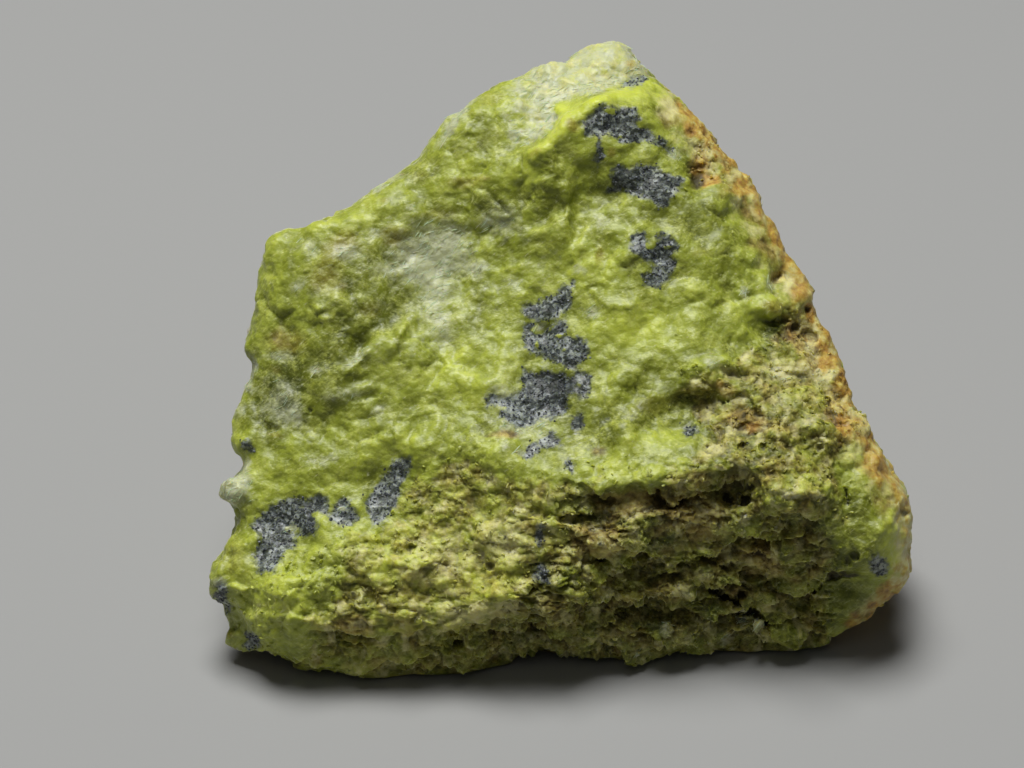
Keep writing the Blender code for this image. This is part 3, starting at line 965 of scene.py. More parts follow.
    def magnetite(self, paint: Paint, painted: dict[str, Socket],
                  colour: Socket) -> tuple[Socket, Socket]:
        """Fill the dark patches with grey-black grains that show a little way under the wax.

        Args:
            paint: The material's builder.
            painted: The skin's numbers.
            colour: The colour below.

        Returns:
            How far the patches cover, and the colour.
        """
        ragged = paint.cloud(0.6, 3.0)
        colour = paint.layer(colour, self.halo, 0.0, 1.0, (painted["ore"], 1.0), (ragged, 1.0),
                             most=0.5)
        ore = paint.cover(0.5, 1.15, (painted["ore"], 1.0), (ragged, 1.6), most=0.93)
        grain = paint.add("TexVoronoi", {"Vector": paint.place, "Scale": 1.0 / (0.36 * MM)},
                          "Color", feature="F1")
        glint = paint.add("SeparateColor", {"Color": grain})
        streaks = paint.cloud(0.3, 3.0, 0.6, 3.0, 30.0)
        # The shade tints darken the grains: painted shade
        tone = paint.mixture((glint, 0.36), (streaks, 0.7), (painted["frost"], 0.3),
                             (painted["shade"], -0.16), (1.0, 0.07))
        speckle = paint.add("ValToRGB", {"Fac": tone}, stops=(
            (0.42, self.ore), (0.62, self.ore_grey), (0.82, self.ore_glint)))
        return ore, paint.add("Mix", {MIX_COVER: ore, MIX_UNDER: colour, MIX_UPPER: speckle},
                              MIX_RESULT, data_type="RGBA")


@dataclass(frozen=True)
class MagnetiteFinish:
    """Magnetite: small broken crystals with flat faces that glint grey among black."""

    black: str = "#1f2325"
    steel: str = "#596062"

    def build(self) -> bpy.types.Material:
        """Make the material."""
        paint = Paint("magnetite_grain")
        colour = paint.add("ValToRGB", {"Fac": paint.cloud(0.5, 2.0)},
                           stops=((0.4, self.black), (0.64, self.steel)))
        return paint.finish(colour, 0.5, IOR=1.7)


@dataclass(frozen=True)
class SilkyFinish:
    """Chrysotile: silky whitish fibres that catch the light along their length."""

    pale: str = "#d9dcc4"
    green: str = "#b8c07c"

    def build(self) -> bpy.types.Material:
        """Make the material."""
        paint = Paint("silky_fibre")
        colour = paint.add("Mix", {MIX_COVER: paint.cloud(1.2, 2.0), MIX_UNDER: self.green,
                                   MIX_UPPER: self.pale}, MIX_RESULT, data_type="RGBA")
        return paint.finish(colour, 0.34, Subsurface_Weight=0.4, Subsurface_Scale=0.6 * MM)


# Dark granular patches, read off the stone's front: outlines in u and v
ORE_PATCHES: dict[str, Line] = {
    "crest": (
        (2.3, 55.8), (2.8, 56.3), (3.4, 56.8), (4.0, 57.5), (4.6, 57.6), (5.3, 57.4), (6.0, 57.3),
        (7.3, 57.4), (7.8, 56.8), (8.1, 56.2), (8.0, 55.4), (8.6, 55.3), (9.2, 55.0), (9.7, 54.3),
        (10.4, 53.8), (11.2, 53.2), (11.8, 53.0), (11.0, 52.8), (10.2, 53.3), (9.2, 53.7), (8.5, 54.0),
        (8.0, 53.7), (7.0, 53.6), (6.0, 53.6), (5.7, 54.0), (5.2, 54.4), (4.6, 54.7), (4.0, 54.3),
        (4.1, 53.5), (4.3, 52.3), (3.7, 51.4), (3.4, 51.8), (3.6, 53.0), (3.6, 54.0), (3.2, 54.7),
        (2.6, 54.4), (2.4, 55.2),
    ),
    "below_crest": (
        (5.3, 51.5), (6.0, 51.7), (6.8, 51.2), (8.0, 51.6), (8.8, 51.3), (9.6, 51.5), (10.0, 51.0),
        (10.8, 50.7), (11.6, 50.4), (12.6, 50.4), (12.2, 49.6), (11.6, 49.0), (11.3, 48.1), (10.8, 47.4),
        (10.2, 47.1), (9.6, 47.3), (9.0, 48.1), (8.0, 48.4), (7.0, 48.7), (6.2, 49.0), (5.5, 48.8),
        (4.6, 48.9), (4.7, 49.3), (5.2, 49.5), (5.3, 50.5),
    ),
    "two_lobes": (
        (7.0, 44.4), (7.8, 44.8), (8.5, 44.7), (8.6, 44.0), (9.0, 43.4), (9.7, 43.7), (9.5, 44.4),
        (10.0, 44.8), (10.8, 44.5), (11.4, 44.0), (11.9, 43.3), (11.6, 42.8), (11.2, 42.5), (11.6, 41.8),
        (11.4, 40.8), (10.8, 40.2), (10.0, 39.4), (9.2, 39.2), (8.5, 39.6), (8.2, 40.4), (9.0, 41.0),
        (9.5, 41.5), (8.8, 41.8), (8.0, 42.0), (7.4, 42.6), (7.1, 43.4),
    ),
    "shard": (
        (1.5, 40.0), (1.2, 39.0), (1.2, 38.0), (1.0, 37.2), (0.6, 36.7), (0.0, 36.9), (-0.2, 36.2),
        (-1.0, 36.0), (-2.0, 35.9), (-3.0, 36.0), (-3.5, 36.4), (-3.6, 37.2), (-3.3, 37.7), (-2.5, 37.7),
        (-1.5, 38.2), (-0.8, 38.3), (0.0, 39.0), (0.7, 39.5),
    ),
    "middle": (
        (-3.7, 35.7), (-3.0, 35.8), (-2.4, 35.6), (-2.8, 34.9), (-2.0, 34.6), (-0.9, 35.2), (-0.6, 35.9),
        (0.2, 36.0), (0.8, 35.5), (0.8, 34.6), (1.8, 34.3), (2.7, 33.9), (3.0, 33.0), (2.7, 32.2),
        (2.0, 31.6), (1.4, 30.9), (0.6, 31.1), (0.0, 31.8), (-1.1, 32.1), (-2.0, 32.6), (-2.7, 32.7),
        (-3.3, 33.0), (-3.6, 33.8),
    ),
    "spread": (
        (-3.7, 31.3), (-2.9, 31.0), (-2.5, 30.3), (-2.0, 31.0), (-1.2, 31.0), (-0.5, 30.6), (0.2, 31.0),
        (0.7, 30.4), (1.2, 30.6), (2.2, 30.7), (2.8, 30.6), (3.2, 29.8), (3.0, 28.8), (2.6, 28.2),
        (2.0, 28.5), (1.5, 28.9), (1.0, 28.6), (0.8, 27.8), (0.8, 27.0), (0.0, 26.5), (-0.8, 26.0),
        (-1.5, 26.4), (-2.2, 26.0), (-3.0, 25.6), (-3.8, 25.4), (-4.7, 25.5), (-5.5, 25.9), (-6.0, 26.7),
        (-6.4, 27.5), (-7.2, 27.6), (-7.5, 27.2), (-7.4, 28.2), (-7.0, 28.7), (-6.0, 28.4), (-5.0, 28.4),
        (-4.2, 28.7), (-3.8, 29.5), (-3.9, 30.5),
    ),
    "right_speck": (
        (1.3, 26.4), (2.0, 26.7), (2.4, 26.2), (2.3, 25.2), (1.8, 25.0), (1.3, 25.2), (1.0, 25.8),
    ),
    "lower_speck": (
        (-3.9, 22.5), (-3.2, 23.4), (-2.5, 23.7), (-2.0, 24.0), (-1.5, 24.7), (-0.8, 24.8), (-0.2, 24.2),
        (0.2, 23.5), (-0.4, 23.2), (-1.2, 23.4), (-2.0, 23.0), (-2.6, 22.5), (-3.3, 22.2),
    ),
    "dot": (
        (0.6, 21.9), (1.1, 22.1), (1.5, 21.7), (1.5, 21.2), (1.0, 20.9), (0.6, 21.2),
    ),
    "blade": (
        (-14.9, 22.2), (-15.1, 21.4), (-15.5, 20.2), (-16.0, 19.2), (-16.2, 18.4), (-16.4, 17.5),
        (-17.0, 16.8), (-17.2, 16.2), (-17.8, 15.6), (-18.6, 15.6), (-19.1, 16.2), (-19.2, 17.0),
        (-19.5, 17.5), (-19.4, 18.2), (-18.8, 18.7), (-18.2, 19.6), (-17.6, 20.4), (-17.0, 21.4),
        (-16.7, 21.9), (-16.0, 22.2),
    ),
    "left_main": (
        (-28.0, 18.0), (-29.2, 17.3), (-29.8, 16.5), (-30.5, 16.0), (-31.0, 15.4), (-30.5, 14.8),
        (-29.8, 14.3), (-30.2, 13.7), (-30.6, 13.0), (-30.6, 12.0), (-30.2, 11.4), (-30.2, 10.6),
        (-29.4, 10.9), (-29.0, 10.7), (-28.2, 11.4), (-27.8, 12.2), (-27.3, 13.0), (-26.5, 13.2),
        (-26.4, 13.9), (-27.0, 14.3), (-26.0, 14.8), (-25.4, 14.3), (-24.5, 14.5), (-24.1, 15.2),
        (-24.5, 16.0), (-24.8, 16.7), (-24.2, 17.0), (-23.5, 16.6), (-23.2, 17.2), (-23.2, 18.0),
        (-23.6, 18.6), (-24.2, 18.7), (-24.7, 18.3), (-25.2, 18.0), (-26.0, 18.2), (-27.0, 18.3),
    ),
    "left_small": (
        (-23.0, 16.8), (-22.4, 17.5), (-21.8, 18.2), (-21.0, 18.2), (-20.9, 17.4), (-20.5, 16.8),
        (-19.9, 16.3), (-20.7, 15.9), (-21.5, 15.5), (-22.2, 15.8), (-23.0, 16.0), (-23.3, 16.4),
    ),
    "brow_spot": (
        (-2.4, 11.0), (-1.9, 11.8), (-1.3, 11.2), (-0.9, 10.3), (-1.2, 9.6), (-2.0, 9.5), (-2.5, 10.0),
    ),
    "wall_streak": (
        (-2.2, 15.6), (-1.6, 15.4), (-1.5, 14.0), (-1.8, 12.8), (-2.2, 13.5), (-2.4, 14.6),
    ),
    "tip": (
        (31.0, 12.0), (32.0, 12.3), (32.9, 11.7), (32.7, 10.7), (31.8, 10.3), (31.1, 11.0),
    ),
    "rim_dot": (
        (-31.9, 23.8), (-31.1, 24.0), (-30.7, 23.4), (-31.0, 22.7), (-31.7, 22.8),
    ),
    "bead": (
        (-34.4, 9.4), (-33.8, 9.7), (-33.2, 9.2), (-33.2, 8.0), (-32.9, 6.8), (-33.4, 6.4), (-34.1, 7.6),
        (-34.6, 8.3),
    ),
    "pocket": (
        (-31.7, 4.4), (-31.0, 4.8), (-30.3, 4.3), (-30.4, 3.2), (-31.1, 2.8), (-31.7, 3.3),
    ),
    "crevice": (
        (5.9, 59.2), (6.7, 59.8), (7.6, 60.2), (8.3, 60.7), (8.8, 60.4), (8.3, 59.6), (7.2, 59.3),
    ),
    "faint": (
        (12.4, 25.6), (13.4, 25.6), (13.9, 24.9), (13.2, 24.3), (12.4, 24.6),
    ),
}

# Small gaps in them: u, v, half length, half width, strength, turn
ORE_GAPS: tuple[Lump, ...] = tuple(Lump(*row) for row in (
    (5.0, 56.8, 0.6, 0.4, 0.8), (9.0, 43.3, 0.5, 0.35, 0.9), (10.7, 43.3, 0.4, 0.3, 0.7),
    (-1.9, 35.3, 0.7, 0.3, 1.0, 25.0), (-0.2, 34.3, 0.5, 0.25, 0.9), (0.5, 33.0, 0.5, 0.3, 0.9),
    (-2.3, 33.5, 0.3, 0.4, 0.8), (-1.2, 28.2, 0.6, 0.8, 0.5), (-27.0, 15.3, 0.8, 0.45, 1.0, 10.0),
    (-21.8, 17.1, 0.3, 0.3, 0.8), (-3.6, 27.6, 0.5, 0.4, 0.5), (6.2, 54.6, 0.4, 0.3, 0.6),
    (8.3, 55.6, 0.4, 0.3, 0.5), (10.2, 41.2, 0.4, 0.5, 0.5, 40.0), (-26.0, 17.3, 0.5, 0.3, 0.5),
    (-29.0, 14.0, 0.4, 0.5, 0.5), (-17.0, 19.6, 0.4, 0.5, 0.5), (-5.6, 27.2, 0.5, 0.3, 0.5),
    (1.9, 29.6, 0.4, 0.4, 0.5),
))

# The shaded wall below the brow, where the shards stand out furthest and painted shade darkens the rock
SHADED_WALL: Line = (
    (0.4, 16.0), (1.6, 19.6), (6.0, 19.0), (14.0, 19.4), (18.0, 20.5), (21.0, 16.0), (27.0, 15.0),
    (29.0, 9.0), (27.0, 2.0), (4.0, -0.5), (-20.0, -1.0), (-28.0, 1.0), (-26.0, 3.4), (-20.0, 5.4),
    (-16.4, 3.8), (-12.0, 3.8), (-7.0, 6.0), (-4.2, 7.4), (-3.4, 9.6), (0.6, 12.5),
)

# Where the front is broken into crumbly ledges
CRUMBLY_ZONES: tuple[Line, ...] = (
    ((-22.0, 14.5), (-18.0, 15.5), (-15.0, 20.0), (-12.0, 22.0), (-8.0, 22.5), (-5.0, 20.5),
     (0.0, 20.0), (6.0, 19.8), (12.0, 20.5), (14.5, 23.0), (12.0, 26.5), (12.5, 30.0),
     (16.0, 32.0), (20.5, 33.5), (22.0, 37.5), (25.5, 38.0), (28.0, 31.0), (30.5, 24.0),
     (29.0, 19.0), (26.0, 14.5), (28.5, 9.0), (26.5, 4.0), (22.0, 1.5), (4.0, 0.5),
     (-6.0, -0.5), (-20.0, -1.0), (-29.0, 0.6), (-27.0, 3.6), (-24.0, 7.0), (-22.5, 11.0)),
    ((13.5, 54.5), (15.5, 54.0), (16.0, 50.5), (13.5, 50.0)),
)

# The bulge at the lower left, grainy but not broken
GRAINY_BULGE: Line = (
    (-33.0, 9.0), (-27.0, 11.0), (-22.0, 14.5), (-20.0, 6.0), (-22.0, 1.5), (-30.0, 2.0),
)

# The right-hand edge of the front, where the weathered crust shows
CRUST_EDGE: Line = (
    (13.2, 57.2), (15.3, 54.6), (18.2, 50.7), (19.9, 49.0), (21.9, 45.0), (25.8, 38.7), (26.6, 35.0),
    (28.5, 31.6), (29.6, 27.2), (31.3, 24.0), (33.0, 21.1), (35.2, 17.4), (35.0, 12.0), (34.9, 9.9),
    (30.2, 5.5),
)

# The whitish translucent knob above the yellow lip, and the lip
KNOB: Line = (
    (9.5, 61.5), (8.7, 60.3), (6.5, 59.5), (4.0, 58.7), (1.2, 58.0), (-0.5, 57.5), (-0.6, 56.0),
    (-0.7, 55.0), (-1.5, 54.2), (-3.0, 53.6), (-5.0, 53.8), (-10.0, 55.0), (-12.0, 60.0), (-5.0, 66.0),
    (1.0, 66.0), (9.0, 66.0), (11.0, 63.0),
)
LIP: Line = (
    (-0.6, 57.4), (1.2, 57.9), (4.0, 58.6), (6.5, 59.4), (8.8, 60.2), (10.6, 58.8), (13.4, 55.6),
    (12.6, 54.9), (10.0, 57.2), (7.5, 57.9), (5.5, 58.0), (3.6, 57.4), (2.4, 56.4), (1.4, 55.0),
    (-0.2, 53.4), (-2.5, 52.2), (-3.4, 52.8), (-1.6, 54.0), (-0.6, 55.0),
)

# Small folds, ledges and cracks of the front: form, line, half width, height, reach
STROKES: tuple[Stroke, ...] = (
    Stroke(Form.STEP, ((-31.0, 9.2), (-32.8, 9.6), (-35.0, 8.9)), 0.2, 0.9, 1.0),
    Stroke(Form.STEP, ((-32.9, 8.6), (-32.2, 6.4), (-30.6, 4.6), (-29.6, 2.4)), 0.25, 1.2, 1.2),
    Stroke(Form.STEP, ((-19.4, 10.6), (-19.0, 9.2), (-18.6, 7.6)), 0.2, 0.8, 1.0),
    Stroke(Form.STEP, ((8.8, 60.0), (6.5, 59.2), (4.0, 58.4), (1.2, 57.7), (-0.2, 57.2),
                       (-0.3, 56.0), (-0.4, 55.0), (-1.2, 54.0), (-3.2, 53.0), (-4.6, 52.6)),
           0.25, 1.5, 1.6),
    Stroke(Form.STEP, ((-1.5, 20.8), (0.0, 20.2), (1.5, 19.5), (4.0, 18.8), (6.0, 18.8),
                       (8.0, 19.2), (10.0, 18.8), (14.0, 19.2), (15.2, 19.8), (17.8, 20.6)),
           0.3, 0.9, 1.8),
    Stroke(Form.STEP, ((-13.0, 4.0), (-10.0, 5.2), (-8.2, 6.0), (-7.0, 6.8), (-5.0, 7.3),
                       (-3.0, 6.8), (-0.8, 5.6), (1.5, 5.6), (3.0, 7.2), (3.4, 8.4)),
           0.3, 1.5, 1.8),
    Stroke(Form.RIDGE, ((-18.5, 33.5), (-21.5, 30.8), (-22.5, 30.0)), 0.35, 0.45),
    Stroke(Form.GROOVE, ((-16.2, 33.5), (-17.5, 31.5), (-19.5, 30.2), (-21.5, 29.5)), 0.35, 0.35),
    Stroke(Form.RIDGE, ((-20.0, 30.2), (-18.0, 31.0), (-16.4, 33.6), (-15.0, 36.8)), 0.4, 0.4),
    Stroke(Form.GROOVE, ((-17.5, 35.5), (-20.0, 33.5), (-21.0, 32.0)), 0.4, 0.3),
    Stroke(Form.STEP, ((-29.8, 26.0), (-28.6, 25.3), (-27.7, 25.2)), 0.25, 0.7, 1.2),
    Stroke(Form.STEP, ((1.0, 48.0), (0.0, 46.5), (-1.5, 45.8), (-2.5, 45.4), (-4.0, 44.8)),
           0.3, 0.8, 1.6),
    Stroke(Form.GROOVE, ((-3.6, 53.0), (-3.9, 49.0), (-3.8, 45.0)), 0.35, 0.45),
    Stroke(Form.STEP, ((1.0, 43.0), (1.2, 47.0), (1.5, 52.0)), 0.3, 0.6, 1.5),
    Stroke(Form.RIDGE, ((-25.0, 36.5), (-23.3, 37.6), (-21.5, 38.5)), 0.22, 0.16),
    Stroke(Form.RIDGE, ((-24.6, 35.6), (-22.9, 36.6), (-21.2, 37.4)), 0.22, 0.16),
    Stroke(Form.RIDGE, ((-16.4, 34.2), (-14.5, 37.0)), 0.4, 0.35),
    Stroke(Form.STEP, ((-29.5, 2.8), (-23.0, 2.6), (-16.0, 3.0)), 0.3, 0.9, 1.5),
    Stroke(Form.FISSURE, ((-21.5, 8.0), (-19.0, 8.5)), 0.3, 0.5),
    Stroke(Form.FISSURE, ((-26.0, 6.5), (-24.4, 6.8), (-23.0, 7.3)), 0.3, 0.5),
    Stroke(Form.FISSURE, ((-17.5, 7.0), (-14.0, 7.2)), 0.3, 0.4),
    Stroke(Form.FISSURE, ((-3.5, 17.0), (-0.5, 16.3), (2.5, 15.9)), 0.45, 0.4),
    Stroke(Form.GROOVE, ((4.0, 17.8), (7.5, 18.2)), 0.5, 0.3),
    Stroke(Form.GROOVE, ((2.0, 12.2), (6.0, 12.0)), 0.4, 0.7),
    Stroke(Form.STEP, ((4.5, 7.5), (9.5, 8.0), (11.2, 7.6), (14.0, 9.0)), 0.3, 0.8, 1.4),
    Stroke(Form.FISSURE, ((14.5, 9.0), (17.0, 8.0), (18.5, 7.2), (21.0, 5.2)), 0.3, 1.3),
    Stroke(Form.RIDGE, ((18.8, 6.4), (20.8, 5.0)), 0.25, 0.4),
    Stroke(Form.FISSURE, ((28.5, 19.5), (28.8, 17.2)), 0.4, 0.8),
    Stroke(Form.FISSURE, ((24.8, 8.5), (26.0, 9.5), (27.0, 10.2), (29.0, 10.5), (30.8, 10.5)),
           0.35, 1.1),
    Stroke(Form.FISSURE, ((26.5, 28.5), (27.2, 26.8), (27.8, 25.0)), 0.35, 0.8),
    Stroke(Form.FISSURE, ((19.8, 36.0), (22.0, 35.7), (23.5, 36.1)), 0.4, 0.7),
    Stroke(Form.GROOVE, ((8.0, 26.6), (12.0, 27.4), (16.0, 27.6), (20.0, 28.0)), 0.7, 0.6),
    Stroke(Form.RIDGE, ((11.5, 30.6), (15.0, 31.8), (19.0, 31.4)), 0.5, 0.4),
    Stroke(Form.RIDGE, ((3.5, 38.0), (6.0, 37.2), (9.0, 37.6)), 0.4, 0.3),
)

# Small lumps and hollows of the front: u, v, half length, half width, height, turn
LUMPS: tuple[Lump, ...] = tuple(Lump(*row) for row in (
    (-33.4, 8.2, 0.6, 0.6, 0.5), (-32.3, 3.2, 0.8, 0.7, 0.5), (-33.0, 4.6, 0.6, 0.6, 0.5),
    (-27.6, 8.6, 2.0, 1.4, 0.6), (-24.0, 9.8, 1.6, 1.2, 0.5), (-29.6, 6.4, 1.2, 1.2, 0.4),
    (-14.6, 5.2, 2.2, 0.7, 0.6), (-20.4, 2.2, 2.6, 1.0, 0.5), (-8.0, 7.8, 4.0, 1.8, 1.1, 10.0),
    (-18.0, 6.4, 4.0, 1.6, 0.5), (-27.6, 4.8, 4.4, 2.2, 1.6), (-14.4, 4.9, 3.0, 1.2, 0.7),
    (-4.6, 7.2, 1.3, 0.9, 0.5), (-1.0, 6.6, 1.9, 1.1, 0.8), (8.0, 8.8, 3.6, 0.8, 0.7),
    (16.5, 19.0, 2.2, 1.3, -0.5, 20.0), (8.0, 16.6, 7.0, 1.6, 0.3, 2.0), (-0.5, 15.6, 4.0, 1.0, 0.5, -8.0),
    (9.0, 12.0, 1.1, 0.9, 0.5), (11.5, 11.3, 0.9, 0.8, 0.5), (15.5, 6.9, 2.2, 1.0, 0.5),
    (12.6, 4.6, 1.7, 1.1, 0.5), (5.0, 3.3, 1.1, 1.5, 0.5), (8.0, 1.9, 1.5, 0.7, 0.4),
    (20.3, 10.2, 1.9, 1.2, -1.0, -20.0), (-29.2, 43.4, 1.6, 2.0, 0.5), (-24.6, 45.6, 1.7, 0.8, 0.35),
    (-21.4, 45.0, 1.6, 1.2, 0.3, 20.0), (21.4, 37.2, 1.9, 1.1, 0.5, 5.0), (18.6, 38.8, 0.9, 0.9, 0.3),
    (-16.2, 44.2, 1.4, 0.7, -0.1), (-21.0, 39.2, 1.0, 1.3, -0.35), (-22.6, 26.8, 1.3, 1.3, -0.5),
    (-17.0, 24.8, 1.3, 0.9, 0.4, 10.0), (-14.0, 23.0, 1.3, 1.1, 0.4), (-25.2, 24.3, 1.0, 0.9, 0.4),
    (-27.5, 10.0, 2.4, 1.4, 0.3, 10.0), (-12.0, 9.6, 1.2, 1.0, 0.3), (10.0, 46.1, 1.6, 1.3, -0.4),
    (13.2, 44.7, 1.3, 1.7, -0.4), (5.2, 48.4, 2.2, 1.2, -0.4), (21.9, 40.2, 1.0, 0.7, -0.6),
))

# Beads of the left edge, which stand out square to the skin: the same numbers
EDGE_BEADS: tuple[Lump, ...] = tuple(Lump(*row) for row in (
    (-32.7, 19.0, 1.2, 1.1, 0.9), (-34.0, 9.6, 1.2, 1.0, 0.4), (-31.6, 23.6, 0.9, 1.0, 0.4),
    (-31.4, 33.4, 1.2, 1.4, 0.3), (-33.4, 3.8, 0.9, 0.9, 0.5),
))

# Pits of the front: u, v, radius, depth
PITS: tuple[Pit, ...] = tuple(Pit(*row) for row in (
    (16.7, 18.3, 0.45, 1.0), (18.5, 18.0, 0.4, 0.9), (19.0, 19.3, 0.4, 0.9), (18.2, 8.5, 0.4, 1.0),
    (18.1, 25.2, 0.4, 0.7), (19.6, 26.6, 0.5, 0.8), (16.7, 23.6, 0.3, 0.6), (18.5, 23.5, 0.3, 0.6),
    (20.3, 23.3, 0.35, 0.6), (26.1, 23.2, 0.3, 0.6), (29.3, 12.3, 0.35, 0.7), (28.8, 11.8, 0.35, 0.7),
    (16.0, 25.0, 0.3, 0.5), (14.8, 23.5, 0.3, 0.6), (-15.0, 13.2, 0.35, 0.7), (-7.0, 11.5, 0.35, 0.7),
    (13.9, 50.0, 0.7, 1.0), (21.7, 40.3, 0.5, 0.7), (24.6, 37.0, 0.5, 0.8), (34.5, 16.8, 0.4, 0.7),
    (23.6, 35.3, 0.4, 0.7), (25.4, 34.4, 0.4, 0.6), (-26.4, 25.9, 0.18, 0.3), (-25.0, 26.9, 0.18, 0.3),
    (4.0, 12.0, 0.5, 0.8), (-5.0, 16.6, 0.35, 0.6),
))
